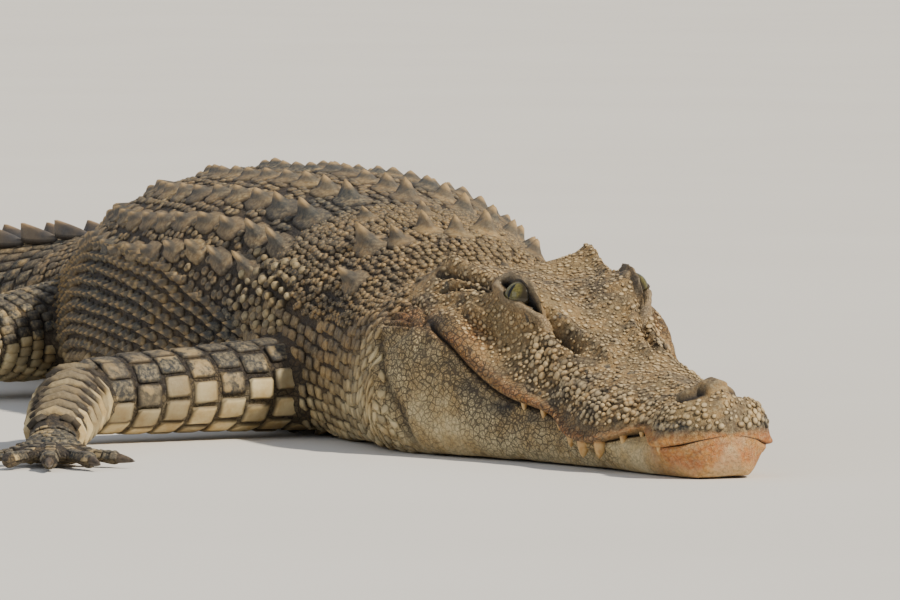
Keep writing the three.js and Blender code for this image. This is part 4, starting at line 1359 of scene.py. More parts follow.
# %% The tree that seats a form on every point
def build_seating():
    tree = bpy.data.node_groups.new("seat a form on every point", "GeometryNodeTree")
    tree.interface.new_socket("Geometry", in_out="INPUT", socket_type="NodeSocketGeometry")
    tree.interface.new_socket("Form", in_out="INPUT", socket_type="NodeSocketObject")
    growth = tree.interface.new_socket("Growth", in_out="INPUT", socket_type="NodeSocketFloat")
    growth.default_value = 1.0
    tree.interface.new_socket("Finish", in_out="INPUT", socket_type="NodeSocketMaterial")
    tree.interface.new_socket("Geometry", in_out="OUTPUT", socket_type="NodeSocketGeometry")
    node = Paint(tree).node
    given = node("NodeGroupInput").outputs

    def stored(name):
        vector = node("GeometryNodeInputNamedAttribute", data_type="FLOAT_VECTOR")
        vector.inputs["Name"].default_value = name
        return vector.outputs["Attribute"]

    size = node("ShaderNodeVectorMath", {0: stored("size"), "Scale": given["Growth"]}, operation="SCALE")
    seats = node("GeometryNodeInstanceOnPoints", {
        "Points": given["Geometry"],
        "Instance": node("GeometryNodeObjectInfo", {"Object": given["Form"]}).outputs["Geometry"],
        "Rotation": node("FunctionNodeEulerToRotation", {"Euler": stored("facing")}).outputs["Rotation"],
        "Scale": size.outputs["Vector"],
    })
    real = node("GeometryNodeRealizeInstances", {"Geometry": seats.outputs["Instances"]})
    finished = node("GeometryNodeSetMaterial", {
        "Geometry": real.outputs["Geometry"], "Material": given["Finish"]})
    node("NodeGroupOutput", {"Geometry": finished.outputs["Geometry"]})
    return tree


seating = build_seating()


def seat(name, form, seats, finish, marks=None):
    """Puts the form on each seat (place, ahead, up, size), as one piece with a plain mesh."""
    mesh = bpy.data.meshes.new(name)
    mesh.from_pydata([tuple(place) for place, _, _, _ in seats], [], [])
    angles = []
    for _, ahead, up, _ in seats:
        x = Vector(ahead).normalized()
        z = (Vector(up) - x * Vector(up).dot(x)).normalized()
        turn = Matrix((x, z.cross(x), z)).transposed()
        angles.append(tuple(turn.to_euler()))
    mesh.attributes.new("facing", "FLOAT_VECTOR", "POINT").data.foreach_set("vector", np.ravel(angles))
    sizes = np.ravel([size for _, _, _, size in seats])
    mesh.attributes.new("size", "FLOAT_VECTOR", "POINT").data.foreach_set("vector", sizes)
    store(mesh, **(marks or {}))
    piece = new_object(name, mesh)
    modifier = piece.modifiers.new("seats", "NODES")
    modifier.node_group = seating
    sockets = {s.name: s.identifier for s in seating.interface.items_tree if s.in_out == "INPUT"}
    modifier[sockets["Form"]] = form
    modifier[sockets["Finish"]] = finish
    piece.update_tag()
    made = bpy.data.meshes.new_from_object(piece.evaluated_get(bpy.context.evaluated_depsgraph_get()))
    piece.modifiers.clear()
    piece.data = made
    made.name = name
    bpy.data.meshes.remove(mesh)
    bpy.data.objects.remove(form)
    made.polygons.foreach_set("use_smooth", np.ones(len(made.polygons), bool))
    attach(piece, "root")
    print(f"{name}: {len(seats)} copies, {triangles_of(made)} triangles")
    return made


print("the seating tree has", len(seating.nodes), "nodes")

# %% Forms: a tooth or claw, and a blade
def swept_cone(name, sides, rings, bend, blunt=1.6):
    """A cone along +Z, 1 high and 1 wide at its foot, whose tip bends towards +X."""
    t = np.linspace(0, 1, rings)[:, None]
    angle = 2 * np.pi * np.arange(sides)[None, :] / sides
    radius = 0.5 * (1 - t**blunt) ** 0.7 + 0.015
    x = radius * np.cos(angle) + bend * t * t
    y = radius * np.sin(angle)
    z = t + 0 * angle
    mesh = mesh_from(name, np.stack([x, y, z], axis=-1).reshape(-1, 3), tube_faces(rings, sides))
    store(mesh, root=np.repeat(1 - ramp(t[:, 0], 0.0, 0.45), sides))
    return new_object(name, mesh)


def blade_form():
    """A blade 1 long, 1 high and 1 thick, its crest swept to the rear (-X) and its foot sunk."""
    heights = np.array([-0.45, -0.1, 0.15, 0.4, 0.65, 0.85, 0.96, 1.0])
    ways = np.array([-1, -0.75, -0.35, 0.1, 0.5, 0.8, 1])
    up = np.maximum(heights, 0)[:, None]
    front = 0.5 - 0.84 * up**1.5
    rear = -0.5 + 0.06 * up
    middle, half = (front + rear) / 2, (front - rear) / 2
    x = middle + half * ways[None, :]
    z = heights[:, None] + 0 * x
    thick = 0.5 * (1 - 0.75 * up) * (1 - 0.85 * np.abs(ways[None, :]) ** 3)
    right = np.stack([x, -thick, z], axis=-1).reshape(-1, 3)
    left = np.stack([x, thick, z], axis=-1).reshape(-1, 3)
    quads, rim = grid_faces(*x.shape)
    quads = quads[:, [0, 3, 2, 1]]
    after = np.roll(rim, -1)
    wall = np.stack([after, rim, rim + x.size, after + x.size], axis=-1)
    mesh = mesh_from("blade", np.concatenate([right, left]), [quads, quads[:, ::-1] + x.size, wall])
    # ridge marks the crest for a painted highlight, and edge the foot for painted shade
    store(mesh, ridge=[ramp(z, 0.55, 1.0)] * 2, edge=[1 - ramp(z, -0.1, 0.3)] * 2)
    return new_object("blade", mesh)


# %% The crest of the tail
WHORLS, CREST_FROM, CREST_MERGES = 30, 3.46, 5.15
crest_height = curve((3.4, 0.025), (4.4, 0.05), (5.15, 0.085), (5.6, 0.12), (6.4, 0.1), (7.1, 0.045))
crest_out = curve((3.4, 0.1), (4.3, 0.075), (5.15, 0.012))
PITCH = (TAIL_TIP - 0.06 - CREST_FROM) / WHORLS


def crest_seats():
    seats = []
    for whorl in range(WHORLS):
        at = CREST_FROM + PITCH * (whorl + 0.5)
        twin = at < CREST_MERGES
        out = float(crest_out(at))
        height = float(crest_height(at))
        angle = math.radians(float(heading(at)))
        ahead = (math.cos(angle), math.sin(angle), 0)
        for side in (RIGHT, LEFT) if twin else (0,):
            lean = side * math.radians(14)
            arch = float(top_line(at) - body_widest(at)) if twin else 0
            fall = 0.35 * (out / float(body_width(at))) ** 2 * arch
            place = to_world(at, side * out, float(top_line(at)) - fall)
            up = (-math.sin(angle) * math.sin(lean), math.cos(angle) * math.sin(lean), math.cos(lean))
            size = (PITCH * 0.98 * HEAD, 0.024 * HEAD * (1 if twin else 0.8), height * HEAD)
            seats.append((place, ahead, up, size))
    return seats


seat("tail_crest", blade_form(), crest_seats(), horn_finish)

# %% [markdown]
# ## The coat of the trunk
# On a crocodile's back the scales are bony shields with a keel, in rows that run along the body. Between
# and below them lie small oval scales, and on the belly flat oblong plates. A honeycomb of places, with a
# little disorder, gives each region its own pitch and its own form of scale.

# %% Honeycombs of places, and rows of shields
def honeycomb(low_u, high_u, low_v, high_v, pitch_u, pitch_v, seed, loose=0.12):
    """Places (station, metres round) in offset rows between two stations and two ways round."""
    rng = np.random.default_rng(seed)
    columns = np.arange(low_u, high_u, pitch_u / HEAD)
    rows = np.arange(low_v, high_v, pitch_v)
    u, v = np.meshgrid(columns, rows)
    u = u + (np.arange(len(rows)) % 2)[:, None] * pitch_u / HEAD / 2
    u = u + rng.uniform(-loose, loose, u.shape) * pitch_u / HEAD
    v = v + rng.uniform(-loose, loose, v.shape) * pitch_v
    return u.reshape(-1), v.reshape(-1)


def only(mask, *arrays):
    return [a[mask] for a in arrays]


def clear_of(u, v, centres, room):
    """True for the places that lie further from all centres than their room, in metres."""
    free = np.ones(len(u), bool)
    for (cu, cv), (along, across) in zip(centres, room):
        inside = ((u - cu) * HEAD / along) ** 2 + ((v - cv) / across) ** 2 < 1
        free &= ~inside
    return free


def pebble_seats(sheet, u, v, length, width, height, seed, uneven=0.15):
    """Seats for small round scales on the finished skin, with their marks and their places for the bake."""
    rng = np.random.default_rng(seed)
    base, normal = sheet.place(u, v)
    ahead = sheet.place(*sheet.shift(u, v, 0.004 + 0 * u, 0 * u))[0] - base
    length, width, height = (np.broadcast_to(np.asarray(a, float), u.shape) for a in (length, width, height))
    size = np.stack([length, width, height], axis=1) * rng.uniform(1 - uneven, 1 + uneven, (len(u), 3))
    seats, kept = [], []
    for i in range(len(u)):
        if np.isnan(base[i]).any() or np.isnan(ahead[i]).any():
            continue
        spot, up, _, away = skin_tree.find_nearest(base[i], SEARCH)
        if spot is None or away > 0.012:
            continue
        seats.append((spot, ahead[i], up, size[i]))
        kept.append(i)
    kept = np.array(kept)
    if isinstance(sheet, LegSheet):
        shares = leg_marks(base[kept], normal[kept])
    else:
        shares = marks_at(u[kept], sheet.share_at(u[kept], v[kept]), base[kept])
    marks = dict(zip(("pale", "stain", "dark"), shares), tone=rng.random(len(kept)))
    return seats, marks, np.stack(sheet.bake_place(u[kept], v[kept]), axis=1)


def pebble_form(pointed, sides=8):
    """A dome 1 long, wide and high with a sunk foot. pointed pulls its top up to a cone."""
    rings = ((0.5, 1 - 0.5 * pointed), (0.86, 0.6 - 0.3 * pointed), (1.0, -0.35))  # reach, height
    angle = 2 * np.pi * np.arange(sides) / sides
    pattern = [[0, 0, 1]]
    for reach, height in rings:
        pattern += [[reach * math.cos(t), reach * math.sin(t), height] for t in angle]
    pattern = np.array(pattern, float)
    k = np.arange(sides)
    fan = np.stack([0 * k, 1 + k, 1 + (k + 1) % sides], axis=-1)
    bottom = (1 + (len(rings) - 1) * sides + k)[None, ::-1]
    mesh = mesh_from("pebble", pattern * [0.5, 0.5, 1.0], [fan, ring_faces(1, len(rings), sides), bottom])
    edge = np.hypot(pattern[:, 0], pattern[:, 1])
    # edge marks the foot of each pebble for painted shade, and ridge its tip for a painted highlight
    store(mesh, edge=edge, ridge=np.where(edge < 0.1, pointed, 0))
    return new_object("pebble", mesh), pattern[:, :2]


def joined(parts):
    """Joins the seats, marks and bake places of several batches of small scales."""
    seats = [place for part in parts for place in part[0]]
    marks = {label: np.concatenate([part[1][label] for part in parts]) for label in parts[0][1]}
    return seats, marks, np.concatenate([part[2] for part in parts])


def seat_coat(name, pointed, seats, marks, bake, finish):
    """Seats a pebble for each small scale, and gives the piece its map for the bake."""
    form, outline = pebble_form(pointed)
    mesh = seat(name, form, seats, finish, marks)
    patches = fill_square(bake)[:, None, :] + outline * PATCH
    store_bake_map(mesh, patches.reshape(-1, 2))


roll = curve((1.5, 0), (1.9, -0.015), (2.4, -0.045), (3.0, -0.02), (3.4, 0))  # the back's middle, in metres
SHIELD_ROWS = (0.035, 0.1, 0.155, 0.2)  # metres from the middle of the back


def shield_places():
    """Station, way round, length, width, keel for every shield of the back."""
    places = []
    narrowing = curve((1.6, 0.85), (2.2, 1.0), (2.8, 0.9), (3.2, 0.68), (3.45, 0.55))
    for side in (RIGHT, LEFT):
        for row, way in enumerate(SHIELD_ROWS):
            at, end = ((1.74, 3.4), (1.7, 3.38), (1.66, 3.2), (1.7, 3.0))[row]
            k = 0
            while at < end:
                pitch = 0.052 * (1.12 if k < 2 else 1.0)
                v = float(roll(at)) + side * way * float(narrowing(at))
                first = max(0.0, 1 - 0.45 * k)
                keel = (0.0095, 0.0095, 0.009, 0.0075)[row] + 0.009 * first
                width = (0.054, 0.052, 0.042, 0.034)[row] * float(narrowing(at)) ** 0.5
                places.append((at, v, 0.05 * (1 + 0.15 * first), width, keel))
                at += pitch / HEAD
                k += 1
    return np.array(places)


shields = shield_places()
print(len(shields), "shields on the back")

# %% Shields, small scales between them, flanks and belly
SHARP_COLUMNS = (-1, -0.82, -0.45, -0.13, 0, 0.13, 0.45, 0.82, 1)  # points across a keeled shield


def build_back():
    rng = np.random.default_rng(21)
    u, v, length, width, keel = shields.T
    u = u + rng.uniform(-0.006, 0.006, len(u))
    v = v + rng.uniform(-0.003, 0.003, len(v))
    pattern = plate_pattern(SHARP_COLUMNS, round_=0.8, sharp=0.27)
    batch = lay_scales(body_sheet, u, v, length * 0.96, width * 0.92, 0.0035, pattern, 22, keel=keel,
                       turn=rng.uniform(-0.06, 0.06, len(u)), uneven=0.03)
    coat_piece("shields", [batch], scale_finish, bake_map=False)


def build_small_back():
    """Small oval scales that fill the room between the shields."""
    u, v = honeycomb(1.6, 3.5, -0.26, 0.26, 0.0145, 0.0114, 23, 0.2)
    room = shields[:, 2:4] * 0.5
    narrow = curve((1.58, 1), (2.8, 1), (3.2, 0.75), (3.5, 0.55))
    inside = np.abs(v) < 0.245 * narrow(u)
    u, v = only(clear_of(u, v, shields[:, :2], room) & inside, u, v)
    small = pebble_seats(body_sheet, u, v, 0.0152, 0.0119, 0.0038, 24)
    seat_coat("small_scales_back", 0.6, *small, scale_finish)


def both_sides(seed, *net, loose=0.12):
    """For each side in turn: the side, its seed, and the stations, ways round and shares of a net."""
    for side in (RIGHT, LEFT):
        own_seed = seed + (side == LEFT)
        u, v = honeycomb(*net, own_seed, loose)
        v = side * v
        yield side, own_seed, u, v, np.abs(body_sheet.share_at(u, v))


def build_flanks():
    batches = []
    pattern = plate_pattern((-1, -0.7, 0, 0.7, 1), (-1, -0.8, -0.2, 0.5, 1), round_=1.0)
    for side, seed, u, v, share in both_sides(31, 1.62, 3.45, 0.0, 0.5, 0.0205, 0.0142):
        narrow = curve((1.58, 1), (2.8, 1), (3.2, 0.75), (3.5, 0.6))
        keep = (np.abs(v) > 0.232 * narrow(u)) & (share < 0.74)
        u, v, share = only(keep, u, v, share)
        keel = 0.0075 * (1 - ramp(share, 0.5, 0.72))
        batches.append(lay_scales(body_sheet, u, v, 0.0192, 0.013, 0.0035, pattern, seed + 5, keel=keel,
                                  turn=-side * 0.25, uneven=0.07))
    coat_piece("flank_scales", batches, scale_finish)


def build_belly():
    batches = []
    pattern = plate_pattern((-1, -0.86, 0, 0.86, 1), (-1, -0.86, 0, 0.86, 1), round_=0.2)
    for _, seed, u, v, share in both_sides(41, 1.15, 3.5, 0.2, 0.72, 0.031, 0.0265, loose=0.03):
        u, v = only(share >= np.where(u < 1.6, 0.84, 0.73), u, v)
        batches.append(lay_scales(body_sheet, u, v, 0.0295, 0.0252, 0.0013, pattern, seed + 5,
                                  uneven=0.02))
    coat_piece("belly_plates", batches, scale_finish)


build_back()
build_small_back()
build_flanks()
build_belly()

# %% [markdown]
# ## The coat of the neck
# Behind the skull stands a group of tall shields, with a few small ones in front of it and behind it, and
# small cones surround them. They are few and all differ, so each has a line of its own. On the sides the
# scales are round and lie close together, with painted shade on the skin in the gaps. Over the shoulder
# they are pale knobs.

# %% Nape shields, cones, side scales and knobs
NAPE = np.array([  # station, metres round from the back, length, width, keel
    (1.385, -0.082, 0.056, 0.046, 0.027), (1.335, -0.058, 0.042, 0.034, 0.017),
    (1.295, -0.128, 0.046, 0.038, 0.022), (1.375, -0.018, 0.05, 0.036, 0.021),
    (1.325, 0.006, 0.044, 0.036, 0.021), (1.385, 0.05, 0.054, 0.044, 0.025),
    (1.3, 0.09, 0.044, 0.036, 0.02), (1.56, 0.012, 0.04, 0.03, 0.013), (1.57, -0.05, 0.038, 0.03, 0.012),
    (1.1, -0.03, 0.026, 0.018, 0.009), (1.1, 0.012, 0.026, 0.018, 0.009),
    (1.095, -0.068, 0.024, 0.018, 0.009), (1.095, 0.05, 0.024, 0.018, 0.009),
])


def build_nape():
    u, v, length, width, keel = NAPE.T
    pattern = plate_pattern(SHARP_COLUMNS, round_=0.9, sharp=0.27)
    batch = lay_scales(body_sheet, u, v, length, width, 0.004, pattern, 51, keel=keel * 0.85, uneven=0.03)
    coat_piece("nape_shields", [batch], scale_finish, bake_map=False)


def build_neck_cones():
    u, v = honeycomb(0.96, 1.68, -0.25, 0.25, 0.0098, 0.0085, 52, 0.3)
    share = np.abs(body_sheet.share_at(u, v))
    front = 1.025 - 0.05 * ramp(share, 0.3, 0.45)
    lower = 0.44 - 0.1 * ramp(u, 1.4, 1.6)
    room = NAPE[:, 2:4] * 0.46
    keep = (u > front) & (share < lower) & (u < 1.64) & clear_of(u, v, NAPE[:, :2], room)
    u, v = only(keep, u, v)
    grow = 1 + 0.25 * ramp(u, 1.3, 1.6)
    cones = pebble_seats(body_sheet, u, v, 0.0098 * grow, 0.0086 * grow, 0.0048 * grow, 53, 0.22)
    seat_coat("neck_cones", 0.8, *cones, scale_finish)


def build_neck_sides():
    batches = []
    pattern = plate_pattern((-1, -0.8, 0, 0.8, 1), (-1, -0.8, 0, 0.8, 1), round_=0.75)
    for _, seed, u, v, share in both_sides(54, 0.86, 1.96, 0.1, 0.5, 0.0158, 0.0142, loose=0.17):
        front = np.interp(share, (0.4, 0.5, 0.62, 0.72, 0.86), (0.99, 1.01, 1.0, 0.915, 0.9))
        upper = 0.44 - 0.02 * ramp(u, 1.4, 1.6)
        rear = 1.7 + 0.1 * ramp(share, 0.5, 0.6) + 0.15 * ramp(share, 0.7, 0.76)
        keep = (u > front) & (share > upper) & (share < 0.9) & (u < rear)
        u, v, front = only(keep, u, v, front)
        size = 0.72 + 0.28 * ramp(u - front, 0.0, 0.14)
        batches.append(lay_scales(body_sheet, u, v, 0.0163 * size, 0.0146 * size, 0.0026, pattern,
                                  seed + 5, uneven=0.1))
    coat_piece("neck_side_scales", batches, scale_finish)


def build_knobs():
    parts = []
    for _, seed, u, v, share in both_sides(56, 1.5, 1.72, 0.12, 0.25, 0.0165, 0.0145, loose=0.22):
        u, v = only((share > 0.3) & (share < 0.5), u, v)
        parts.append(pebble_seats(body_sheet, u, v, 0.0125, 0.0115, 0.0065, seed + 5, 0.2))
    seats, marks, bake = joined(parts)
    marks["pale"] = np.maximum(marks["pale"], 0.8)
    seat_coat("shoulder_knobs", 0.2, seats, marks, bake, scale_finish)


build_nape()
build_neck_cones()
build_neck_sides()
build_knobs()

# %% [markdown]
# ## The coat of the tail
# The tail is ringed: each ring carries one or two blades on top and oblong plates on its sides, two rows to
# a ring, which get smaller and fewer towards the tip.

# %% Rings of plates
def build_tail_rings():
    batches = []
    pattern = plate_pattern((-1, -0.84, 0, 0.84, 1), (-1, -0.86, 0, 0.86, 1), round_=0.25)
    count = curve((3.4, 19), (4.2, 15), (5.2, 11), (6.2, 7), (7.1, 4))
    for side, seed in ((RIGHT, 61), (LEFT, 62)):
        places = []
        for row in range(2 * WHORLS):
            at = CREST_FROM + PITCH * (row / 2 + 0.25)
            half = float(body_sheet.half_girth(at, side))
            plates = round(float(count(at)))
            for k in range(plates):
                way = half * (k + 0.5 * (1 + 0.5 * (row % 2))) / plates
                places.append((at, side * way, half / plates))
        u, v, width = np.array(places).T
        beside_crest = np.abs(v) > float(crest_out(3.4)) * 0.1
        u, v, width = only(beside_crest, u, v, width)
        batches.append(lay_scales(body_sheet, u, v, PITCH / 2 * HEAD * 0.93, width * 0.92, 0.0024, pattern,
                                  seed + 3, keel=0.0015, uneven=0.04))
    coat_piece("tail_rings", batches, scale_finish)


build_tail_rings()

# %% [markdown]
# ## The coat of the legs
# The upper arm wears large square plates, the forearm narrow bands that come to a point, and the thigh
# close oval scales. Each toe has a row of short shields. The scales follow the leg round, so they are bent
# over a net of its own for each segment.

# %% Plates, bands and toe shields
square_plate = plate_pattern((-1, -0.9, -0.6, 0.6, 0.9, 1), (-1, -0.9, -0.6, 0.6, 0.9, 1), round_=0.3)
oval_plate = plate_pattern((-1, -0.75, 0, 0.75, 1), (-1, -0.75, 0, 0.75, 1), round_=0.8)


def band_plate():
    """A wide plate bent to a point in the middle, with its rear edge raised over the next plate."""
    points, faces = plate_pattern(
        (-1, -0.9, -0.45, 0, 0.45, 0.9, 1), (-1, -0.8, 0, 0.8, 1), round_=0.1, sharp=1.5)
    points[:, 0] -= 1.2 * (np.abs(points[:, 1]) - 0.5)
    return points, faces


def round_leg(low, high, length, pitch, plates, seed, loose=0.04, offset=0.5):
    """Places round a leg segment in offset rows: share of the way along, and turn."""
    rng = np.random.default_rng(seed)
    rows = np.arange(low, high, pitch / length)
    u, k = np.meshgrid(rows, np.arange(plates), indexing="ij")
    v = (k + offset * (np.arange(len(rows)) % 2)[:, None]) / plates
    u = u + rng.uniform(-loose, loose, u.shape) * pitch / length
    return u.reshape(-1), v.reshape(-1)


def leg_batches(name, seed):
    tubes = legs[name]
    fore = name.startswith("fore")
    upper, lower, sole = (LegSheet(tubes[part]) for part in ("upper", "lower", "sole"))
    batches = []
    long = tubes["upper"].length
    if fore:
        u, v = round_leg(0.02, 1.0, long, 0.0285, 10, seed, 0.05, 0.3)
        width = math.pi * 2 * 0.093 * HEAD / 10
        batches.append(lay_scales(upper, u, v, 0.0272, width * 0.93, 0.0034, square_plate, seed,
                                  uneven=0.06))
    else:
        u, v = round_leg(0.2, 1.0, long, 0.0165, 26, seed, 0.12)
        batches.append(lay_scales(upper, u, v, 0.0162, 0.0152, 0.003, oval_plate, seed, uneven=0.06))
    long = tubes["lower"].length
    plates, pitch = (4, 0.029) if fore else (8, 0.019)
    u, v = round_leg(0.06, 0.93 if fore else 0.97, long, pitch, plates, seed + 1, 0.05, 0.0)
    girth = math.pi * 2 * (0.08 if fore else 0.07) * HEAD
    batches.append(lay_scales(lower, u, v, pitch * 1.04, girth / plates * 1.12, 0.0016, band_plate(),
                              seed + 1, keel=0.0042))
    batches[-1]["blotches"] = 0.3
    long = tubes["sole"].length
    u, v = round_leg(0.05, 0.95, long, 0.0095, 22, seed + 2, 0.15)
    batches.append(lay_scales(sole, u, v, 0.0092, 0.0098, 0.0016, oval_plate, seed + 2, uneven=0.08))
    for i in range(5 if fore else 4):
        toe = tubes[f"toe_{i + 1}"]
        rows = np.arange(0.3, 0.97, 0.0085 / toe.length)
        sheet = LegSheet(toe)
        for turn, width in ((0.25, 0.0155), (0.07, 0.011), (0.43, 0.011)):
            batches.append(lay_scales(sheet, rows, 0 * rows + turn, 0.0088, width, 0.0014, square_plate,
                                      seed + 3 + i))
    return batches


for n, name in enumerate(POSES):
    coat_piece(f"{name}_plates", leg_batches(name, 70 + 10 * n), scale_finish)

# %% [markdown]
# ## The rough coat of the head
# The skin of the head is grown to the bone and has no true scales. Lumps of all sizes cover the snout, most
# of them on its sides. They are pebbles of many sizes, seated closer together where the tip turns down. The
# fine cells of the lower jaw are left to the finish of the skin, which draws the cracks between them.

# %% Lumps of the snout
def apart(points, gap):
    """Marks the points to keep so that no two of them are nearer than the gap."""
    tree = tree_of(points)
    keep = np.ones(len(points), bool)
    for i, point in enumerate(points):
        if keep[i]:
            near = [found[1] for found in tree.find_range(point, gap)]
            keep[near] = False
            keep[i] = True
    return keep


def snout_places(side, seed):
    """Places for lumps: even along the snout, and closer in station where its tip turns down."""
    u, v = honeycomb(0.04, 0.98, 0.0, 0.2, 0.0066, 0.0058, seed, 0.35)
    tip_u, tip_v = honeycomb(0.002, 0.04, 0.0, 0.2, 0.0018, 0.0058, seed + 7, 0.35)
    points, _ = head_sheet.place(tip_u, side * tip_v)
    free = apart(points, 0.0052)
    return np.concatenate([u, tip_u[free]]), side * np.concatenate([v, tip_v[free]])


def build_snout_lumps():
    parts = []
    for side, seed in ((RIGHT, 81), (LEFT, 82)):
        u, v = snout_places(side, seed)
        share = np.abs(head_sheet.share_at(u, v))
        rng = np.random.default_rng(seed)
        side_zone = bump(share - 0.33, 0.12) * ramp(u, 0.14, 0.3) * (1 - ramp(u, 0.6, 0.68))
        tip_zone = (1 - ramp(u, 0.3, 0.45)) * ramp(share, 0.1, 0.3)
        cheek_zone = bump(share - 0.42, 0.06) * ramp(u, 0.55, 0.65) * (1 - ramp(u, 0.78, 0.86))
        strength = np.maximum.reduce([side_zone, 0.8 * tip_zone, 0.5 * cheek_zone, 0.3 + 0 * u])
        keep = (rng.random(len(u)) < 0.4 + strength) & (share < 0.47)
        keep &= (u > 0.13) | (u < 0.05) | (share > 0.2)
        keep &= eye_reach(u, share) > 1.55
        u, v, strength = only(keep, u, v, strength)
        size = rng.uniform(0.004, 0.01, len(u)) * (0.5 + 0.6 * strength)
        height = rng.uniform(0.0008, 0.0042, len(u)) * (0.2 + strength)
        parts.append(pebble_seats(head_sheet, u, v, size, size, height, seed + 5, 0.2))
    seat_coat("snout_lumps", 0.15, *joined(parts), lump_finish)


build_snout_lumps()

# %% [markdown]
# ## Teeth and claws
# With the mouth shut, the upper teeth of a crocodile stand outside the lower jaw and the large lower ones
# show in notches of the lip. The claws are blunt hooks on the inner three toes of each foot. Both are the
# same swept cone in other sizes.

# %% Teeth
TEETH = (  # station, size
    (0.09, 0.6), (0.14, 0.7), (0.2, 0.6), (0.24, 0.75), (0.29, 1.15),
    (0.34, 1.2), (0.4, 0.9), (0.46, 0.8), (0.52, 0.7), (0.58, 0.6),
)


def tooth_seats():
    seats = []
    for side in (RIGHT, LEFT):
        for at, size in TEETH:
            rim = float(lip_out(at) * round_end(at + 0.002, TIP["width"]))
            foot = to_world(at, side * (rim - 0.008), float(lip_up(at)) + 0.015)
            point = to_world(at, side * (rim - 0.012), float(lip_up(at)) - 0.026 * size)
            down = point - foot
            long = float(np.linalg.norm(down))
            angle = math.radians(float(heading(at)))
            ahead = np.cross(np.array([math.cos(angle), math.sin(angle), 0]), down) * side
            seats.append((foot, ahead, down, (0.022 * size * HEAD, 0.022 * size * HEAD, long)))
    return seats


seat("teeth", swept_cone("tooth", 12, 9, 0.12, 2.4), tooth_seats(), tooth_finish)


# %% Claws
def claw_seats():
    seats = []
    for tubes in legs.values():
        for i in range(3):
            toe = tubes[f"toe_{i + 1}"]
            radius = float(toe.flat(1.0)) * HEAD
            tip = toe.start + toe.along * (toe.length + 0.3 * radius)
            foot = tip - toe.along * 0.012
            foot[2] = max(foot[2], radius * 0.9)
            ahead = toe.along * [1, 1, 0]
            ahead /= np.linalg.norm(ahead)
            point = tip + ahead * 0.038 * HEAD
            point[2] = 0.006
            down = point - foot
            long = float(np.linalg.norm(down))
            seats.append((foot, [0, 0, -1], down, (radius * 1.25, radius * 1.1, long)))
    return seats


seat("claws", swept_cone("claw", 12, 9, 0.25), claw_seats(), claw_finish)

# %% [markdown]
# ## The eyes
# A crocodile's eye is a yellow-green ball with a slit, set in the bone under the brow; its colour is painted
# darker, as painted shade from the brow. The ball is a finely divided sphere, so it is worked out as rings
# of points. Each point keeps how far it lies from the slit and from the middle of the iris, and the finish
# paints by that. A slight bulge and a thin coat give the glint.

# %% Eyeballs
SIDE_NAMES = {RIGHT: "right", LEFT: "left"}
EYE_LOOK = {"out": 0.82, "ahead": 0.34, "up": 0.46}  # the direction in which the pupil points
SLIT_WIDTH, SLIT_LENGTH = 0.11, 0.5  # shares of the ball's radius


def eye_centre(side):
    at, out, up = EYE["station"], EYE["out"] * side, EYE["up"]
    up += max(0.0, up - float(lip_up(at))) * HEAD_LEAN * out
    return to_world(at, out, up)


def eye_axes(side):
    """The eye's directions: ahead along the head, up along the slit, and out through the pupil."""
    angle = math.radians(float(heading(EYE["station"])))
    ahead = np.array([math.cos(angle), math.sin(angle), 0])
    left = np.array([-math.sin(angle), math.cos(angle), 0])
    out = left * side * EYE_LOOK["out"] + ahead * EYE_LOOK["ahead"] + np.array([0, 0, EYE_LOOK["up"]])
    out /= np.linalg.norm(out)
    ahead = ahead - out * (ahead @ out)
    ahead /= np.linalg.norm(ahead)
    up = np.cross(out, ahead) * side * -1
    return ahead, up, out


def eyeball(side):
    centre = eye_centre(side)
    ahead, up, out = eye_axes(side)
    radius = EYE["radius"] * HEAD * 0.97  # leaves a little room in the socket
    rings, sides = 40, 48
    polar = np.linspace(0.03, math.pi - 0.03, rings)[:, None]
    angle = 2 * np.pi * np.arange(sides)[None, :] / sides
    a, b, c = np.sin(polar) * np.cos(angle), np.sin(polar) * np.sin(angle), np.cos(polar) + 0 * angle
    bulge = 1 + 0.05 * bump(polar, 0.6)
    way = a[..., None] * ahead + b[..., None] * up + c[..., None] * out
    points = centre + radius * bulge[..., None] * way
    faces = tube_faces(rings, sides)
    if side == RIGHT:
        faces = [f[:, ::-1] for f in faces]
    mesh = mesh_from("eye", points.reshape(-1, 3), faces)
    store(mesh, slit=np.hypot(a / SLIT_WIDTH, b / SLIT_LENGTH), polar=polar + 0 * a)
    return new_object(f"eyeball_{SIDE_NAMES[side]}", mesh)


def paint_eye(paint):
    fine = paint.clouds(500.0, 4.0, 0.7)
    # painted shade: the iris colours are darker than the eye's own, as if the brow shaded it
    iris = paint.tint(shade("433f1b"), "6f6733", fine, 0.3, 0.7)
    iris = paint.tint(iris, "2c2410", paint.attribute("polar"), 0.45, 0.8)
    colour = paint.tint(iris, "060504", paint.attribute("slit"), 0.8, 1.1, 0.0, 1.0)
    return colour, None, 0.12


eye_finish = finish_of("eye", paint_eye, specular=0.45)
eye_finish.node_tree.nodes["Principled BSDF"].inputs["Coat Weight"].default_value = 0.15
eyes = {}
for side in (RIGHT, LEFT):
    eyes[side] = eyeball(side)
    eyes[side].data.materials.append(eye_finish)
    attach(eyes[side], "root")
print("eye centres:", eye_centre(RIGHT).round(3), eye_centre(LEFT).round(3))

# %% [markdown]
# ## The eyelids
# The lids are folds of skin round an almond-shaped opening. Each side is a ring of loops: the outermost
# lies on the skin, the next bulge over the ball, then comes the rim, and the last ones line the socket
# behind the ball. All loops are the same outline on the map of the head, drawn larger or smaller and lifted
# by another height.

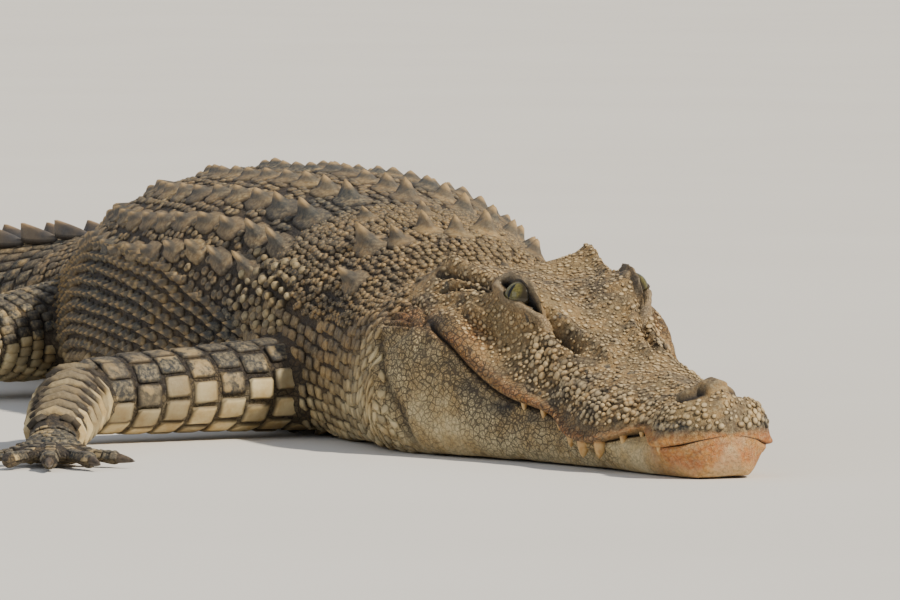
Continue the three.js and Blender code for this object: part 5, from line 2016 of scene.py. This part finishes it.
# %% Lids and socket
LID_LOOPS = (  # size of the outline, height above the skin over and under the eye, in mm
    (1.7, -2.5, -2.5), (1.52, 1.0, 0.0), (1.36, 5.5, 1.5), (1.24, 8.0, 3.6), (1.12, 8.0, 4.6),
    (1.03, 6.5, 4.0), (0.97, 4.5, 2.2), (0.94, 1.0, -1.5), (0.9, -6, -8), (0.8, -12, -13),
    (0.6, -17, -17), (0.3, -19, -19),
)
LIDS_FROM = 0.93  # smaller outlines than this line the socket, and the larger ones stay clear of the ball


def head_normal_at_eye(side):
    way = head_sheet.way_to(eye_middle[0], side * eye_middle[1])
    return head_sheet.place(np.array(eye_middle[0]), np.array(way))[1]


def build_lids(side):
    over = np.clip(-(eye_loop[:, 1] - eye_middle[1]) / 0.055, -1, 1) * 0.5 + 0.5
    centre = eye_centre(side)
    room = EYE["radius"] * HEAD + 0.0015
    rows = []
    for size, above, below in LID_LOOPS:
        place = eye_middle + (eye_loop - eye_middle) * size
        way = np.array([head_sheet.way_to(u, side * share) for u, share in place])
        point, normal = head_sheet.place(place[:, 0], way)
        height = (below + (above - below) * over) * 0.001
        if size > 1.1:
            height = height + 0.0015 * noise(point, 0.01, 17) + 0.0011 * noise(point, 0.004, 18)
        point = point + normal * height[:, None]
        if size > LIDS_FROM:
            off = point - centre
            far = np.linalg.norm(off, axis=1, keepdims=True)
            point = centre + off / far * np.maximum(far, room)
        rows.append(point)
    rows = np.array(rows)
    fine = [rows[0]]
    for i in range(len(rows) - 1):
        near = [rows[min(max(i + k, 0), len(rows) - 1)] for k in (-1, 0, 1, 2)]
        fine += [between_two(*near, f) for f in (0.5, 1.0)]
    fine = np.array(fine)
    count = fine.shape[1]
    points = fine.reshape(-1, 3)
    outwards = head_normal_at_eye(side)
    bottom = points[:count] - outwards * 0.012
    back = points[-count:].mean(axis=0) - outwards * 0.004
    faces = [ring_faces(0, len(fine), count)]
    last = np.arange(len(points) - count, len(points))[None, :]
    base = len(points)
    points = np.concatenate([points, bottom, back[None]])
    k = np.arange(count)
    after = (k + 1) % count
    faces.append(np.stack([k, after, base + after, base + k], axis=-1))
    faces.append(np.stack([base + k, base + after, np.full(count, len(points) - 1)], axis=-1))
    faces.append(last[:, ::-1])
    if side == LEFT:
        faces = [f[:, ::-1] for f in faces]
    name = f"eyelids_{SIDE_NAMES[side]}"
    mesh = mesh_from(name, points, faces)
    inner = np.repeat(np.interp(np.arange(len(fine)), (12, 15), (0, 1)), count)
    inner = np.concatenate([inner, np.ones(len(points) - len(inner))])
    rim = np.repeat(bump(np.arange(len(fine)) - 11, 2.5), count)
    rim = np.concatenate([rim, np.zeros(len(points) - len(rim))])
    store(mesh, inner=inner, rim=rim)
    mesh.materials.append(lid_finish)
    piece = new_object(name, mesh)
    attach(piece, "root")
    return len(mesh.polygons)


def paint_lid(paint):
    base = paint.group(markings, Pale=0.0, Stain=0.0, Dark=0.0)["Color"]
    net = paint.group(cracks, Scale=330.0, Width=0.14)
    colour = paint.mix(0.35, base, shade("5f5b54"))
    colour = paint.mix(paint.math("MULTIPLY", net["Crack"], 0.5), colour, shade("3a3028"))
    colour = paint.mix(paint.math("MULTIPLY", paint.attribute("rim"), 0.4), colour, shade("8f8168"))
    # painted shade: the loops that line the socket behind the ball are near black
    colour = paint.mix(paint.attribute("inner"), colour, shade("17120e"))
    grain = paint.clouds(900.0, 3.0)
    height = paint.math("SUBTRACT", paint.math("MULTIPLY", grain, 0.4), net["Crack"])
    return colour, height, paint.between(paint.attribute("inner"), 0.0, 1.0, 0.6, 0.3)


lid_finish = finish_of("eyelid", paint_lid, bump_depth=0.0005)
print("faces of the lids, right and left:", build_lids(RIGHT), build_lids(LEFT))

# %% [markdown]
# ## The floor, the light and the camera
# The floor is a pale plain that reaches far past the picture on every side. One warm lamp stands high on
# the right of the picture as the sun would, with soft edges to its shadows, a weak cool lamp opposite lifts
# them, and a pale surround does the rest. The camera is far away with a long lens, a little above the
# floor.

# %% Floor
FLOOR_REACH = 90.0  # metres each way, so that its edge never shows
corners = [(x, y, 0.0) for x, y in ((-1, -1), (1, -1), (1, 1), (-1, 1))]
floor_mesh = bpy.data.meshes.new("floor")
floor_mesh.from_pydata([tuple(FLOOR_REACH * v for v in corner) for corner in corners], [], [(0, 1, 2, 3)])
floor = new_object("floor", floor_mesh)


def paint_floor(paint):
    cloudy = paint.between(paint.clouds(1.2), 0.3, 0.7)
    return paint.mix(cloudy, shade("d9d5cd"), shade("dcd8d0")), None, 0.9


floor.data.materials.append(finish_of("floor", paint_floor, specular=0.1))
floor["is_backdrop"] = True
print("the floor reaches", FLOOR_REACH, "m each way")


# %% Lamps and camera
def aim(thing, place, target):
    thing.location = place
    thing.rotation_euler = (Vector(target) - Vector(place)).to_track_quat("-Z", "Y").to_euler()


def lamp(name, kind, place, power, size, colour, target=(0.5, -0.1, 0.1)):
    """A sun, whose size is an angle, or a square lamp, whose size is its side in metres."""
    light = bpy.data.lights.new(name, kind)
    light.energy, light.color = power, colour
    if kind == "SUN":
        light.angle = size
    else:
        light.size = size
    thing = bpy.data.objects.new(name, light)
    bpy.context.scene.collection.objects.link(thing)
    aim(thing, place, target)


AZIMUTH, ELEVATION = math.radians(75.0644), math.radians(3.0)  # of the camera, seen from the animal
CAMERA_DISTANCE = 10.1813
LENS, FILM_WIDTH = 400, 36  # millimetres
back = np.array([math.sin(AZIMUTH) * math.cos(ELEVATION), -math.cos(AZIMUTH) * math.cos(ELEVATION),
                 math.sin(ELEVATION)])
picture_right = np.array([math.cos(AZIMUTH), math.sin(AZIMUTH), 0])
toward = np.array([math.sin(AZIMUTH), -math.cos(AZIMUTH), 0])
TARGET = np.array([0.91683, -0.07435, 0.1646])
key_place = TARGET + picture_right * 3.6 + toward * 2.2 + np.array([0, 0, 4.4])
fill_place = TARGET - picture_right * 4.5 + toward * 4 + np.array([0, 0, 2.5])
lamp("key", "SUN", tuple(key_place), power=5.2, size=math.radians(3.0), colour=(1.0, 0.92, 0.79),
     target=tuple(TARGET))
lamp("fill", "AREA", tuple(fill_place), power=60, size=4.0, colour=(0.75, 0.86, 1.0))
world = bpy.data.worlds.new("room")
bpy.context.scene.world = world
world.use_nodes = True
world.node_tree.nodes["Background"].inputs["Color"].default_value = (0.82, 0.88, 1.0, 1.0)
world.node_tree.nodes["Background"].inputs["Strength"].default_value = 0.5

camera_data = bpy.data.cameras.new("camera")
camera_data.lens, camera_data.sensor_width = LENS, FILM_WIDTH
camera_data.clip_end = 60
camera = bpy.data.objects.new("camera", camera_data)
bpy.context.scene.collection.objects.link(camera)
aim(camera, tuple(TARGET + back * CAMERA_DISTANCE), tuple(TARGET))
bpy.context.scene.camera = camera
print("camera at", [round(v, 2) for v in camera.location])

# %% [markdown]
# ## The skin takes over from the solids
# The skin takes the place of all the flesh, the fine eyes that of the plain ones. The two boxes are written
# down so that they can be compared.

# %% Replace the plain solids and finish
flesh = [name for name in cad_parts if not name.startswith("eye_")]
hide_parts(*flesh)
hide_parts("eye_right")
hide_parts("eye_left")
visual_box = [list(corner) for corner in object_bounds()]
print("box of the finished animal:", [[round(v, 3) for v in corner] for corner in visual_box])
